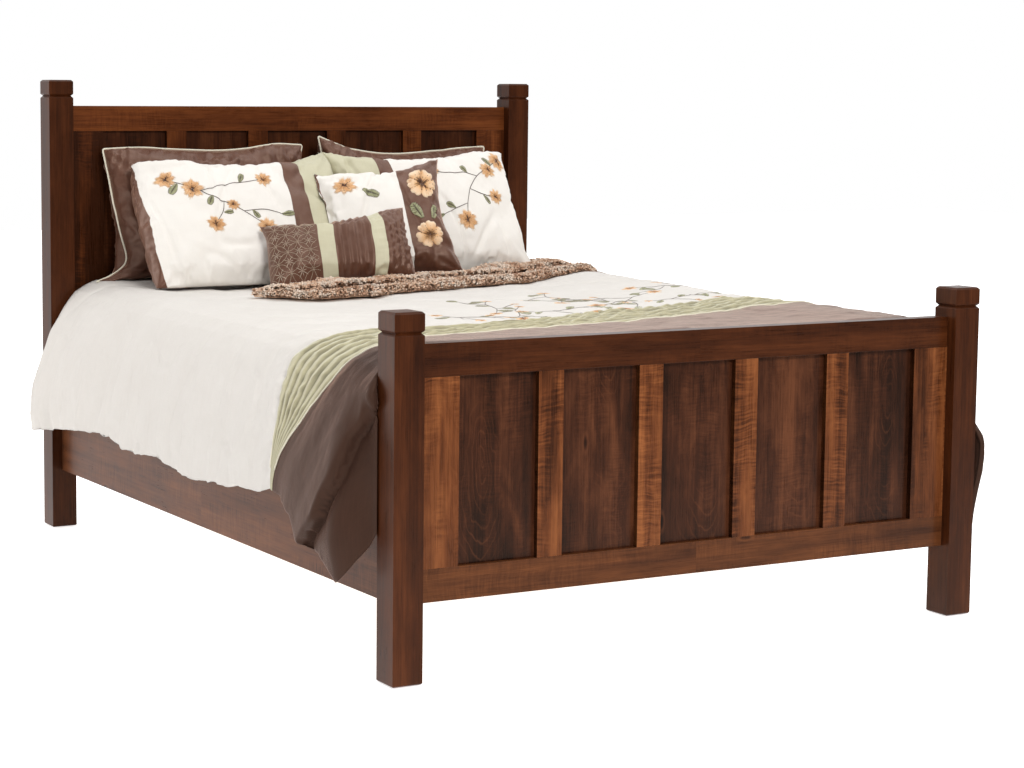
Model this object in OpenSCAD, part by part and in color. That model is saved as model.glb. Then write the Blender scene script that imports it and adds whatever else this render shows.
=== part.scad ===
// Queen panel bed: square grooved posts, five-panel headboard and footboard,
// hook-on side rails, slats on cleats with a centre beam, and its bedding.
// Millimetres. X across the bed, +Y towards the headboard, +Z up.
// The origin is on the floor at the middle of the bed.

/* [Overall] */
// Width over the posts
bed_w = 1676.4; // [1500:0.1:1900]
// Length of a side rail, post face to post face
rail_l = 2082.8; // [2060:0.1:2200]
// Height of the footboard posts
foot_h = 838.2; // [800:0.1:900]
// Height of the headboard posts
head_h = 1353; // [1330:1:1500]

/* [Posts] */
// Side of the square posts
post = 76.2; // [70:0.1:90]
// Chamfer round the top of a post
top_chamfer = 5; // [2:0.5:8]
// Middle of the V groove below the top of a post
groove_drop = 47.5; // [40:0.5:60]
// Depth of the V groove
groove_depth = 6; // [3:0.5:8]
// Thickness of the nylon glide under a post
glide_t = 3; // [2:0.5:5]

/* [Panel frames] */
// Thickness of the rails and stiles
frame_t = 38.1; // [32:0.1:42]
// How far the frame sits back from the foot side of the posts
setback = 28.6; // [15:0.1:32]
// Width of the top and bottom rails
frame_rail = 76.2; // [60:0.1:90]
// Top edge of the footboard frame
foot_top_z = 764; // [720:1:790]
// Top edge of the headboard frame
head_top_z = 1276; // [1200:1:1290]
// Lower edge of both frames
frame_bottom_z = 180.3; // [150:0.1:200]
// Width of the stiles between panels
mid_stile = 67; // [50:1:90]
// Width of the stiles beside the posts
end_stile = 105.5; // [80:0.5:130]
// Number of panels in each frame
panel_n = 5; // [3:1:6]
// Thickness of the flat panels
panel_t = 9.5; // [6:0.5:9.5]

/* [Side rails and slats] */
// Thickness of a side rail
side_t = 25.4; // [20:0.1:30]
// Height of a side rail
side_h = 203.2; // [180:0.1:230]
// Lower edge of a side rail
side_z = 177; // [160:1:185]
// How far a side rail sits in from the outside of the posts
side_inset = 31.75; // [20:0.05:32]
// Top of the cleats, where the slats lie
cleat_top = 222; // [215:1:230]
// Thickness of a slat
slat_t = 19; // [15:1:22]
// Width of a slat
slat_w = 89; // [60:1:120]
// Number of slats
slat_n = 5; // [5:2:9]

/* [Bedding] */
// Width of the mattress and the box spring
mat_w = 1524; // [1500:1:1530]
// Length of the mattress and the box spring
mat_l = 2032; // [2000:1:2040]
// Thickness of the box spring
box_t = 222; // [200:1:222]
// Thickness of the mattress
mat_t = 254; // [230:1:254]

/* [Hidden] */
$fn = 48;
eps = 0.01;

hw = bed_w / 2;                 // outside of the posts
hl = rail_l / 2 + post;         // ends of the posts
ix = hw - post;                 // inside of the posts
iy = rail_l / 2;                // post faces that the side rails meet
yf = -hl + setback;             // front of the footboard frame
yh = iy + setback;              // front of the headboard frame
opening = (2 * ix - 2 * end_stile - (panel_n - 1) * mid_stile) / panel_n;
slot_w = 10;                    // groove that holds the panels
slot_d = 12;
tenon_t = 12.7;
tenon_l = 36;
tenon_h = 50;
rail_x = hw - side_inset - side_t / 2;  // middle of a side rail
hook_z = [232, 296];            // lower edge of each hook's neck
leg_y = 220;                    // centre legs stand at plus and minus this
leg_s = 44.45;
beam_w = 63.5;
beam_h = 38.1;
beam_z = cleat_top - beam_h;
slat_top = cleat_top + slat_t;
mat_y = 10;                     // middle of the mattress
mat_z = slat_top + box_t;
top_z = mat_z + mat_t;          // top of the mattress
lay_z = top_z + 28;             // top of the comforter

wood = [0.30, 0.13, 0.07];
wood_light = [0.42, 0.20, 0.10];
wood_dark = [0.19, 0.08, 0.05];
raw_wood = [0.72, 0.56, 0.36];
steel = [0.62, 0.63, 0.65];
brown_cloth = [0.28, 0.19, 0.17];
cream_cloth = [0.92, 0.90, 0.86];
sage_cloth = [0.75, 0.78, 0.64];

// ---- helpers ----
// a prism along X whose section is drawn in (y, z)
module along_x(x0, x1) translate([x0, 0, 0]) rotate([90, 0, 90]) linear_extrude(x1 - x0) children();
// a prism along Y whose section is drawn in (x, z)
module along_y(y0, y1) translate([0, y1, 0]) rotate([90, 0, 0]) linear_extrude(y1 - y0) children();
module block(a, b) translate(a) cube(b - a);
module both_sides() { children(); mirror([1, 0, 0]) children(); }
module rounded_plate(w, l, t, r) {
    translate([-w / 2 + r, -l / 2, 0]) cube([w - 2 * r, l, t]);
    translate([-w / 2, -l / 2 + r, 0]) cube([w, l - 2 * r, t]);
    for (sx = [-1, 1], sy = [-1, 1]) translate([sx * (w / 2 - r), sy * (l / 2 - r), 0]) cylinder(r = r, h = t);
}
// countersunk wood screw along -Z with its head's face at z = 0
module screw(l) {
    translate([0, 0, -2.2]) cylinder(r1 = 2, r2 = 3.8, h = 2.2);
    translate([0, 0, -(l - 5)]) cylinder(r = 2, h = l - 5 - 2.2 + eps);
    translate([0, 0, -l]) cylinder(r1 = 0.3, r2 = 2, h = 5 + eps);
}
module screw_hole(l) {
    translate([0, 0, -2.25]) cylinder(r1 = 2.1, r2 = 3.95, h = 2.25 + eps);
    translate([0, 0, -l - 0.5]) cylinder(r = 2.1, h = l + 0.5);
}

// ---- posts ----
module edge_cuts(h) {
    // V groove and chamfers, the same on all four sides
    zc = h - groove_drop;
    g = groove_depth;
    c = top_chamfer;
    b = 3;
    for (a = [0:90:270]) translate([post / 2, post / 2, 0]) rotate([0, 0, a]) translate([-post / 2, -post / 2, 0]) {
        along_x(-5, post + 5) polygon([[-1, zc - g - 1], [g, zc], [-1, zc + g + 1]]);
        along_x(-5, post + 5) polygon([[-1, h - c - 1], [c + 1, h + 1], [-1, h + 1]]);
        along_x(-5, post + 5) polygon([[-1, glide_t + b + 1], [-1, glide_t - 1], [b + 1, glide_t - 1]]);
    }
}
// fasteners of the rail hardware: heights of the screws in each plate
hook_screw_z = [222, 279, 337];
slot_screw_z = [212, 281, 346];

// a post on the left side, s = -1 for the foot end and 1 for the head end
module left_post(h, s, frame_y, rails_z, dowels_z) {
    py = s < 0 ? -hl : iy;
    face = s * iy;
    difference() {
        translate([-hw, py, 0]) difference() {
            translate([0, 0, glide_t]) cube([post, post, h - glide_t]);
            edge_cuts(h);
        }
        // mortises for the frame's tenons
        for (z = rails_z) block([-ix - tenon_l - 1, frame_y + (frame_t - tenon_t) / 2, z + (frame_rail - tenon_h) / 2],
                                [-ix + 1, frame_y + (frame_t + tenon_t) / 2, z + (frame_rail + tenon_h) / 2]);
        for (z = dowels_z) translate([-ix - 25, frame_y + frame_t / 2, z]) rotate([0, 90, 0]) cylinder(r = 4.8, h = 26);
        // recess for the slot plate, and the pocket behind it for the hooks
        translate([-rail_x, face, 0]) {
            block([-9.5, s > 0 ? -1 : -3, 204], [9.5, s > 0 ? 3 : 1, 354]);
            block([-4, s > 0 ? -1 : -16, 215], [4, s > 0 ? 16 : 1, 340]);
            for (z = slot_screw_z) translate([0, 0, z]) rotate([s * 90, 0, 0]) screw_hole(20);
        }
        // pin of the glide
        translate([-hw + post / 2, py + post / 2, 0]) cylinder(r = 1.5, h = 21);
    }
}
foot_rails = [foot_top_z - frame_rail, frame_bottom_z];
head_rails = [head_top_z - frame_rail, frame_bottom_z];
foot_dowels = [340, 470, 600];
head_dowels = [360, 620, 880, 1120];
module foot_post_left() color(wood) left_post(foot_h, -1, yf, foot_rails, foot_dowels);
module foot_post_right() color(wood) mirror([1, 0, 0]) left_post(foot_h, -1, yf, foot_rails, foot_dowels);
module head_post_left() color(wood) left_post(head_h, 1, yh, head_rails, head_dowels);
module head_post_right() color(wood) mirror([1, 0, 0]) left_post(head_h, 1, yh, head_rails, head_dowels);

// ---- panel frames ----
// a rail from post to post with a tenon at each end, grooved on its upper or its lower edge
module frame_bar(y, z, groove_up) {
    difference() {
        union() {
            block([-ix, y, z], [ix, y + frame_t, z + frame_rail]);
            block([-ix - tenon_l, y + (frame_t - tenon_t) / 2, z + (frame_rail - tenon_h) / 2],
                  [ix + tenon_l, y + (frame_t + tenon_t) / 2, z + (frame_rail + tenon_h) / 2]);
        }
        gz = groove_up ? z + frame_rail - slot_d : z - 1;
        block([-ix + 20, y + (frame_t - slot_w) / 2, gz], [ix - 20, y + (frame_t + slot_w) / 2, gz + slot_d + 1]);
    }
}
// an upright with stub tenons in the grooves of the rails, and grooved for the panels on the given sides
module stile(x0, x1, y, z0, z1, left, right) {
    ty0 = y + (frame_t - slot_w) / 2;
    ty1 = y + (frame_t + slot_w) / 2;
    difference() {
        union() {
            block([x0, y, z0], [x1, y + frame_t, z1]);
            block([left ? x0 + slot_d : x0 + 20, ty0, z0 - slot_d + 1], [right ? x1 - slot_d : x1 - 20, ty1, z1 + slot_d - 1]);
        }
        if (left) block([x0 - 1, ty0, z0 - 1], [x0 + slot_d, ty1, z1 + 1]);
        if (right) block([x1 - slot_d, ty0, z0 - 1], [x1 + 1, ty1, z1 + 1]);
    }
}
module end_stiles(y, z0, z1, dowels_z) {
    both_sides() difference() {
        stile(-ix, -ix + end_stile, y, z0, z1, false, true);
        for (z = dowels_z) translate([-ix - 1, y + frame_t / 2, z]) rotate([0, 90, 0]) cylinder(r = 4.8, h = 26);
    }
}
module mid_stiles(y, z0, z1)
    for (i = [1:panel_n - 1]) let(x = -ix + end_stile + i * opening + (i - 1) * mid_stile)
        stile(x, x + mid_stile, y, z0, z1, true, true);
module panels(y, z0, z1)
    for (i = [0:panel_n - 1]) let(x = -ix + end_stile + i * (opening + mid_stile))
        block([x - 10, y + (frame_t - panel_t) / 2, z0 - slot_d], [x + opening + 10, y + (frame_t + panel_t) / 2, z1 + 9]);
module dowels(y, dowels_z)
    both_sides() for (z = dowels_z) translate([-ix - 24, y + frame_t / 2, z]) rotate([0, 90, 0]) cylinder(r = 4.75, h = 48);
z_low = frame_bottom_z + frame_rail;
z_foot = foot_top_z - frame_rail;
z_head = head_top_z - frame_rail;

module headboard_top_rail() color(wood) frame_bar(yh, z_head, false);
module headboard_bottom_rail() color(wood) difference() {
    frame_bar(yh, frame_bottom_z, true);
    for (x = [-45, 45]) translate([x, yh - 1, 202.5]) rotate([-90, 0, 0]) cylinder(r = 2.1, h = 24);
}
module headboard_end_stiles() color(wood_light) end_stiles(yh, z_low, z_head, head_dowels);
module headboard_mid_stiles() color(wood_light) mid_stiles(yh, z_low, z_head);
module headboard_panels() color(wood_dark) panels(yh, z_low, z_head);
module headboard_dowels() color(raw_wood) dowels(yh, head_dowels);
module footboard_top_rail() color(wood) frame_bar(yf, z_foot, false);
module footboard_bottom_rail() color(wood) difference() {
    frame_bar(yf, frame_bottom_z, true);
    for (x = [-45, 45]) translate([x, yf + frame_t + 1, 202.5]) rotate([90, 0, 0]) cylinder(r = 2.1, h = 24);
}
module footboard_end_stiles() color(wood_light) end_stiles(yf, z_low, z_foot, foot_dowels);
module footboard_mid_stiles() color(wood_light) mid_stiles(yf, z_low, z_foot);
module footboard_panels() color(wood_dark) panels(yf, z_low, z_foot);
module footboard_dowels() color(raw_wood) dowels(yf, foot_dowels);

// ---- side rails ----
cleat_h = 31.75;
cleat_t = 25.4;
cleat_screw_y = [for (i = [-3:3]) i * 310];
module left_side_rail() {
    x0 = -hw + side_inset;
    difference() {
        block([x0, -iy, side_z], [x0 + side_t, iy, side_z + side_h]);
        for (s = [-1, 1]) translate([-rail_x, s * iy, 0]) {
            block([-9.5, s > 0 ? -3 : -1, 214], [9.5, s > 0 ? 1 : 3, 344]);
            for (z = hook_screw_z) translate([0, 0, z]) rotate([-s * 90, 0, 0]) screw_hole(38);
        }
        for (y = cleat_screw_y) translate([x0 + side_t + cleat_t, y, cleat_top - cleat_h / 2]) rotate([0, 90, 0]) screw_hole(42);
    }
}
module side_rail_left() color(wood) left_side_rail();
module side_rail_right() color(wood) mirror([1, 0, 0]) left_side_rail();
slat_y = [for (i = [0:slat_n - 1]) -880 + i * 1760 / (slat_n - 1)];
module left_cleat() {
    x0 = -hw + side_inset + side_t;
    difference() {
        block([x0, -1000, cleat_top - cleat_h], [x0 + cleat_t, 1000, cleat_top]);
        for (y = cleat_screw_y) translate([x0 + cleat_t, y, cleat_top - cleat_h / 2]) rotate([0, 90, 0]) screw_hole(42);
        for (y = slat_y) translate([x0 + cleat_t / 2, y + 20, slat_top]) screw_hole(36);
    }
}
module cleat_left() color(raw_wood) left_cleat();
module cleat_right() color(raw_wood) mirror([1, 0, 0]) left_cleat();
module cleat_screws() color(steel) both_sides()
    for (y = cleat_screw_y) translate([-hw + side_inset + side_t + cleat_t, y, cleat_top - cleat_h / 2]) rotate([0, 90, 0]) screw(42);

// ---- rail hardware ----
module hook_plate(s) translate([-rail_x, s * iy, 0]) mirror([0, s < 0 ? 1 : 0, 0]) {
    difference() {
        block([-9.5, -3, 214], [9.5, 0, 344]);
        for (z = hook_screw_z) translate([0, 0, z]) rotate([-90, 0, 0]) screw_hole(10);
    }
    for (z = hook_z) along_x(-1.6, 1.6)
        polygon([[-eps, z], [3.2, z], [3.2, z - 10], [9, z - 10], [11, z - 7], [11, z + 16], [-eps, z + 16]]);
}
module slot_plate(s) translate([-rail_x, s * iy, 0]) mirror([0, s < 0 ? 1 : 0, 0])
    difference() {
        block([-9.5, 0, 204], [9.5, 3, 354]);
        for (z = hook_z) block([-2.1, -1, z], [2.1, 4, z + 34]);
        for (z = slot_screw_z) translate([0, 0, z]) rotate([90, 0, 0]) screw_hole(10);
    }
module rail_hook_plates() color(steel) both_sides() for (s = [-1, 1]) hook_plate(s);
module post_slot_plates() color(steel) both_sides() for (s = [-1, 1]) slot_plate(s);
module hook_plate_screws() color(steel) both_sides() for (s = [-1, 1], z = hook_screw_z)
    translate([-rail_x, s * iy, z]) rotate([-s * 90, 0, 0]) screw(38);
module slot_plate_screws() color(steel) both_sides() for (s = [-1, 1], z = slot_screw_z)
    translate([-rail_x, s * iy, z]) rotate([s * 90, 0, 0]) screw(20);

// ---- slats, centre beam and legs ----
module slats() color(raw_wood) for (y = slat_y) difference() {
    block([-778, y - slat_w / 2, cleat_top], [778, y + slat_w / 2, slat_top]);
    for (x = [-hw + side_inset + side_t + cleat_t / 2, 0, hw - side_inset - side_t - cleat_t / 2])
        translate([x, y + 20, slat_top]) screw_hole(36);
}
module slat_screws() color(steel) for (y = slat_y, x = [-hw + side_inset + side_t + cleat_t / 2, 0, hw - side_inset - side_t - cleat_t / 2])
    translate([x, y + 20, slat_top]) screw(36);
bracket_t = 2.5;
module centre_beam() color(raw_wood) difference() {
    block([-beam_w / 2, yf + frame_t + bracket_t, beam_z], [beam_w / 2, yh - bracket_t, cleat_top]);
    for (y = slat_y) translate([0, y + 20, slat_top]) screw_hole(36);
    for (s = [-1, 1]) translate([0, s * leg_y, 0]) {
        translate([0, 0, beam_z - 1]) cylinder(r = 4.3, h = beam_h + 2);
        translate([0, 0, cleat_top - 9]) cylinder(r = 11, h = 10);
    }
}
module bracket() {
    // hanger that carries one end of the beam, drawn at the footboard
    y0 = yf + frame_t;
    difference() {
        block([-56, y0, beam_z - bracket_t], [56, y0 + bracket_t, cleat_top]);
        for (x = [-45, 45]) translate([x, y0 + bracket_t, 202.5]) rotate([-90, 0, 0]) screw_hole(10);
    }
    both_sides() block([-beam_w / 2 - bracket_t - 0.2, y0 + bracket_t - eps, beam_z - bracket_t], [-beam_w / 2 - 0.2, y0 + 32, cleat_top - 4]);
    block([-beam_w / 2 - 0.3, y0 + bracket_t - eps, beam_z - bracket_t], [beam_w / 2 + 0.3, y0 + 32, beam_z]);
}
beam_mid = (yf + frame_t + yh) / 2;
module at_both_ends() { children(); translate([0, 2 * beam_mid, 0]) mirror([0, 1, 0]) children(); }
module beam_brackets() color(steel) at_both_ends() bracket();
module bracket_screws() color(steel) at_both_ends()
    for (x = [-45, 45]) translate([x, yf + frame_t + bracket_t, 202.5]) rotate([-90, 0, 0]) screw(24);
leg_z = 24;
module leg(y) difference() {
    translate([-leg_s / 2, y - leg_s / 2, leg_z]) cube([leg_s, leg_s, beam_z - leg_z]);
    translate([0, y, leg_z - 1]) cylinder(r = 6.03, h = 19);
    translate([0, y, leg_z]) cylinder(r = 4.6, h = 52);
    translate([0, y, beam_z - 20]) cylinder(r = 6.03, h = 21);
    translate([0, y, beam_z - 60]) cylinder(r = 4.6, h = 61);
}
module centre_leg_front() color(raw_wood) leg(-leg_y);
module centre_leg_rear() color(raw_wood) leg(leg_y);
module leg_bolts() color(steel) for (s = [-1, 1]) translate([0, s * leg_y, 0]) {
    translate([0, 0, cleat_top - 7.4]) cylinder(r = 7.4, h = 5.3, $fn = 6);
    translate([0, 0, beam_z - 48]) cylinder(r = 4, h = beam_h + 48 - 7.4 + eps);
}
module leg_bolt_washers() color(steel) for (s = [-1, 1]) translate([0, s * leg_y, cleat_top - 9]) difference() {
    cylinder(r = 9.5, h = 1.6);
    translate([0, 0, -1]) cylinder(r = 4.3, h = 4);
}
module leg_top_inserts() color(steel) for (s = [-1, 1]) translate([0, s * leg_y, beam_z - 20]) difference() {
    cylinder(r = 6, h = 20);
    translate([0, 0, -1]) cylinder(r = 4.05, h = 22);
}
module leveller_inserts() color(steel) for (s = [-1, 1]) translate([0, s * leg_y, leg_z]) difference() {
    cylinder(r = 6, h = 18);
    translate([0, 0, -1]) cylinder(r = 4.05, h = 20);
}
module leveller(y) translate([0, y, 0]) {
    rotate_extrude() polygon([[0, 0], [15, 0], [16, 1], [16, 5], [11, 9], [0, 9]]);
    translate([0, 0, 8]) cylinder(r = 4, h = 48);
}
module leveller_front() color("dimgray") leveller(-leg_y);
module leveller_rear() color("dimgray") leveller(leg_y);
module post_glides() color("gainsboro") for (sx = [-1, 1], sy = [-1, 1]) translate([sx * (hw - post / 2), sy * (hl - post / 2), 0]) {
    cylinder(r = 12.7, h = glide_t);
    cylinder(r = 1.4, h = 20);
}

// ---- bedding ----
module box_spring() color(cream_cloth) translate([0, mat_y, slat_top]) rounded_plate(mat_w, mat_l, box_t, 45);
module mattress() color("white") translate([0, mat_y, mat_z]) rounded_plate(mat_w, mat_l, mat_t, 70);
// section of the comforter: over the mattress and down past the side rails
drape_out = [[0, lay_z], [700, lay_z], [770, lay_z - 4], [815, lay_z - 23], [850, lay_z - 65], [880, lay_z - 145],
             [905, lay_z - 245], [922, lay_z - 345], [930, 335]];
drape_in = [[905, 330], [896, 400], [878, 500], [850, 600], [820, 670], [795, 703], [766, top_z + 0.5], [0, top_z + 0.5]];
function reversed(l) = [for (i = [len(l) - 1:-1:0]) l[i]];
function flipped(l) = [for (p = l) [-p[0], p[1]]];
module drape_section() polygon(concat(drape_out, drape_in, reversed(flipped(drape_in)), reversed(flipped(drape_out))));
module comforter() color(cream_cloth) {
    along_y(-iy + 6, iy - 12) drape_section();
    // end that tucks down between the mattress and the footboard
    block([-745, -iy - 4, 420], [745, -iy + 24, lay_z - 6]);
    // corners that hang lower at the foot and bulge past the outside of the posts
    both_sides() along_x(-920, -895) polygon([[-iy - 55, 470], [-iy - 55, 330], [-1020, 255], [-925, 200], [-880, 212], [-760, 330], [-700, 420], [-900, 470]]);
}
// a cushion of w by h, thick in the middle, pinched towards its four edges
// half its thickness at x, where w is its width, t its middle thickness and e its edge thickness
function plump(x, w, t, e) = e / 2 + (t - e) / 2 * pow(max(0, 1 - pow(2 * abs(x) / w, 2)), 0.75);
module lens(w, t, e, l) rotate([90, 0, 0]) translate([0, 0, -l / 2]) linear_extrude(l)
    polygon(concat([for (i = [-5:5]) let(x = i * w / 10) [x, plump(x, w, t, e)]],
                   [for (i = [5:-1:-5]) let(x = i * w / 10) [x, -plump(x, w, t, e)]]));
module cushion_form(w, h, t, e) intersection() {
    lens(w, t, e, h);
    rotate([0, 0, 90]) lens(h, t, e, w + 2);
}
// leans back by lean, turned by turn about Z, and rolled in its own plane, with its flat base on the comforter
module placed_cushion(c, lean, turn, roll, w, h, t) intersection() {
    translate(c) rotate([0, 0, turn]) rotate([90 - lean, 0, 0]) rotate([0, 0, roll]) cushion_form(w, h, t, 14);
    block([-900, -1000, lay_z + 0.3], [900, 1100, 1400]);
}
module back_sham_left() color(brown_cloth) placed_cushion([-347, 990, 936], 8, -2, 1, 665, 433, 130);
module back_sham_right() color(brown_cloth) placed_cushion([344, 990, 940], 8, 2, -3, 655, 441, 130);
module front_sham_left() color(cream_cloth) placed_cushion([-322, 780, 918], 35, -4, 0, 636, 440, 118);
module front_sham_right() color(cream_cloth) placed_cushion([322, 790, 940], 31, 0, 0, 628, 430, 118);
module square_pillow() color(brown_cloth) placed_cushion([112, 625, 916], 34, -12, 5, 400, 400, 86);
module oblong_pillow() color(brown_cloth) placed_cushion([-150, 490, 854], 34, -20, 6, 424, 235, 84);
// folded fur throw that lies across the bed in front of the pillows
module fur_throw() color([0.62, 0.50, 0.38]) translate([0, 0, lay_z + 0.3]) {
    linear_extrude(40) polygon([[-560, 215], [-430, 130], [-120, 150], [-60, 322], [-330, 420], [-500, 300]]);
    linear_extrude(44) polygon([[-120, 150], [220, 235], [430, 320], [480, 560], [240, 430], [-60, 322]]);
    linear_extrude(44) polygon([[430, 320], [640, 440], [770, 560], [770, 640], [480, 600], [480, 560]]);
}

head_post_left();
head_post_right();
foot_post_left();
foot_post_right();
headboard_top_rail();
headboard_bottom_rail();
headboard_end_stiles();
headboard_mid_stiles();
headboard_panels();
headboard_dowels();
footboard_top_rail();
footboard_bottom_rail();
footboard_end_stiles();
footboard_mid_stiles();
footboard_panels();
footboard_dowels();
side_rail_left();
side_rail_right();
cleat_left();
cleat_right();
cleat_screws();
rail_hook_plates();
post_slot_plates();
hook_plate_screws();
slot_plate_screws();
slats();
slat_screws();
centre_beam();
beam_brackets();
bracket_screws();
centre_leg_front();
centre_leg_rear();
leg_bolts();
leg_bolt_washers();
leg_top_inserts();
leveller_inserts();
leveller_front();
leveller_rear();
post_glides();
box_spring();
mattress();
comforter();
back_sham_left();
back_sham_right();
front_sham_left();
front_sham_right();
square_pillow();
oblong_pillow();
fur_throw();
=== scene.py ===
import math

import bpy
import numpy as np
from mathutils import Matrix, Vector
from mathutils.bvhtree import BVHTree


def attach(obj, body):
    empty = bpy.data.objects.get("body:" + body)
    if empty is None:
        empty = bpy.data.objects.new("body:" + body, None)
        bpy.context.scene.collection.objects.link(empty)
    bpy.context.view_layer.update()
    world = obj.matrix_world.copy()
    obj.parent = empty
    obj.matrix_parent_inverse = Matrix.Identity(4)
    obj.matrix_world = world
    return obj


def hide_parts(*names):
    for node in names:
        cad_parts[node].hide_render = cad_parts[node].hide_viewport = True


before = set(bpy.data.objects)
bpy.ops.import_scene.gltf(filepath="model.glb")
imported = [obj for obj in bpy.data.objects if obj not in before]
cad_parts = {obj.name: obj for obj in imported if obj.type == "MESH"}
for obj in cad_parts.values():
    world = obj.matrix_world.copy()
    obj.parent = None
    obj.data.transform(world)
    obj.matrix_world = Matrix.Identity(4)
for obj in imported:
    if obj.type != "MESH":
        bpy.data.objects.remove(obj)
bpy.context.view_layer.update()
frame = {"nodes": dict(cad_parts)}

# Everything is in metres in the bed's own frame: X across, +Y to the headboard, +Z up.
ROOT = "bed"
scene = bpy.context.scene


# ---------------------------------------------------------------- camera
CAM = dict(pos=(-3.231987, -5.511531, 1.302131), yaw=-0.4890, pitch=-0.1042, roll=0.0052,
           f=2308.3, px=372.0, py=340.0)


def camera():
    y, p, r = CAM["yaw"], CAM["pitch"], CAM["roll"]
    fwd = Vector((-math.sin(y), math.cos(y), 0))
    right = Vector((math.cos(y), math.sin(y), 0))
    up = Vector((0, 0, 1))
    f2 = fwd * math.cos(p) + up * math.sin(p)
    u2 = -fwd * math.sin(p) + up * math.cos(p)
    r3 = right * math.cos(r) + u2 * math.sin(r)
    u3 = -right * math.sin(r) + u2 * math.cos(r)
    data = bpy.data.cameras.new("camera")
    cam = bpy.data.objects.new("camera", data)
    scene.collection.objects.link(cam)
    data.sensor_fit = "HORIZONTAL"
    data.sensor_width = 36.0
    data.lens = CAM["f"] * 36.0 / 1024.0
    data.shift_x = (512.0 - CAM["px"]) / 1024.0
    data.shift_y = (CAM["py"] - 384.0) / 1024.0
    data.clip_start, data.clip_end = 0.1, 60.0
    m = Matrix.Identity(4)
    for i in range(3):
        m[i][0], m[i][1], m[i][2], m[i][3] = r3[i], u3[i], -f2[i], CAM["pos"][i]
    cam.matrix_world = m
    scene.camera = cam


# ---------------------------------------------------------------- smooth noise in numpy
def _hash(ix, iy, seed):
    n = (ix.astype(np.int64) * 374761393 + iy.astype(np.int64) * 668265263 + seed * 2147483647) & 0xFFFFFFFF
    n = ((n ^ (n >> 13)) * 1274126177) & 0xFFFFFFFF
    return ((n ^ (n >> 16)) & 0xFFFF) / 32767.5 - 1.0


def vnoise(x, y, seed=0):
    """Smooth value noise from -1 to 1, one cell per unit."""
    x, y = np.broadcast_arrays(np.asarray(x, float), np.asarray(y, float))
    ix, iy = np.floor(x), np.floor(y)
    fx, fy = x - ix, y - iy
    fx, fy = fx * fx * fx * (fx * (fx * 6 - 15) + 10), fy * fy * fy * (fy * (fy * 6 - 15) + 10)
    a, b = _hash(ix, iy, seed), _hash(ix + 1, iy, seed)
    c, d = _hash(ix, iy + 1, seed), _hash(ix + 1, iy + 1, seed)
    return (a * (1 - fx) + b * fx) * (1 - fy) + (c * (1 - fx) + d * fx) * fy


def fbm(x, y, seed=0, octaves=4):
    out, amp, tot = 0, 1.0, 0
    for k in range(octaves):
        out = out + amp * vnoise(np.asarray(x) * 2 ** k + 17 * k, np.asarray(y) * 2 ** k - 9 * k, seed + k)
        tot += amp
        amp *= 0.5
    return out / tot


def sstep(a, b, x):
    t = np.clip((np.asarray(x, float) - a) / (b - a), 0, 1)
    return t * t * (3 - 2 * t)


# ---------------------------------------------------------------- mesh helpers
def mesh_object(name, co, faces, mats=(), face_mat=None, uv=None, smooth=True, attr=None):
    me = bpy.data.meshes.new(name)
    me.from_pydata(np.asarray(co, float).tolist(), [], [list(map(int, f)) for f in faces])
    for m in mats:
        me.materials.append(m)
    if face_mat is not None:
        me.polygons.foreach_set("material_index", np.asarray(face_mat, np.int32))
    if uv is not None:
        layer = me.uv_layers.new(name="UVMap")
        loops = np.zeros(len(me.loops), np.int32)
        me.loops.foreach_get("vertex_index", loops)
        layer.data.foreach_set("uv", np.asarray(uv, float)[loops].astype(np.float32).ravel())
    if attr is not None:
        for key, values in attr.items():
            a = me.attributes.new(key, "FLOAT", "POINT")
            a.data.foreach_set("value", np.asarray(values, np.float32))
    me.polygons.foreach_set("use_smooth", [smooth] * len(me.polygons))
    me.update()
    me.validate()
    o = bpy.data.objects.new(name, me)
    scene.collection.objects.link(o)
    return o


def tube(name, points, radius, mat, sides=8, closed=True, squash=1.0):
    """A round cord along points, as a closed mesh."""
    P = np.asarray(points, float)
    n = len(P)
    if closed:
        T = np.roll(P, -1, 0) - np.roll(P, 1, 0)
    else:
        T = np.gradient(P, axis=0)
    T /= np.maximum(np.linalg.norm(T, axis=1, keepdims=True), 1e-9)
    ref = np.array([0.13, 0.27, 0.95])
    u = np.cross(T[0], ref)
    u /= np.linalg.norm(u)
    U = [u]
    for k in range(1, n):
        w = U[-1] - T[k] * (U[-1] @ T[k])
        U.append(w / max(np.linalg.norm(w), 1e-9))
    U = np.array(U)
    V = np.cross(T, U)
    a = np.arange(sides) * 2 * math.pi / sides
    R = np.broadcast_to(np.asarray(radius, float), (n,))[:, None, None]
    ring = P[:, None, :] + R * (np.cos(a)[None, :, None] * U[:, None, :] + np.sin(a)[None, :, None] * V[:, None, :])
    co = ring.reshape(-1, 3)
    faces = []
    for k in range(n if closed else n - 1):
        k2 = (k + 1) % n
        for s in range(sides):
            s2 = (s + 1) % sides
            faces.append([k * sides + s, k * sides + s2, k2 * sides + s2, k2 * sides + s])
    if not closed:
        faces.append(list(range(sides))[::-1])
        faces.append([(n - 1) * sides + s for s in range(sides)])
    return mesh_object(name, co, faces, [mat])


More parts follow.
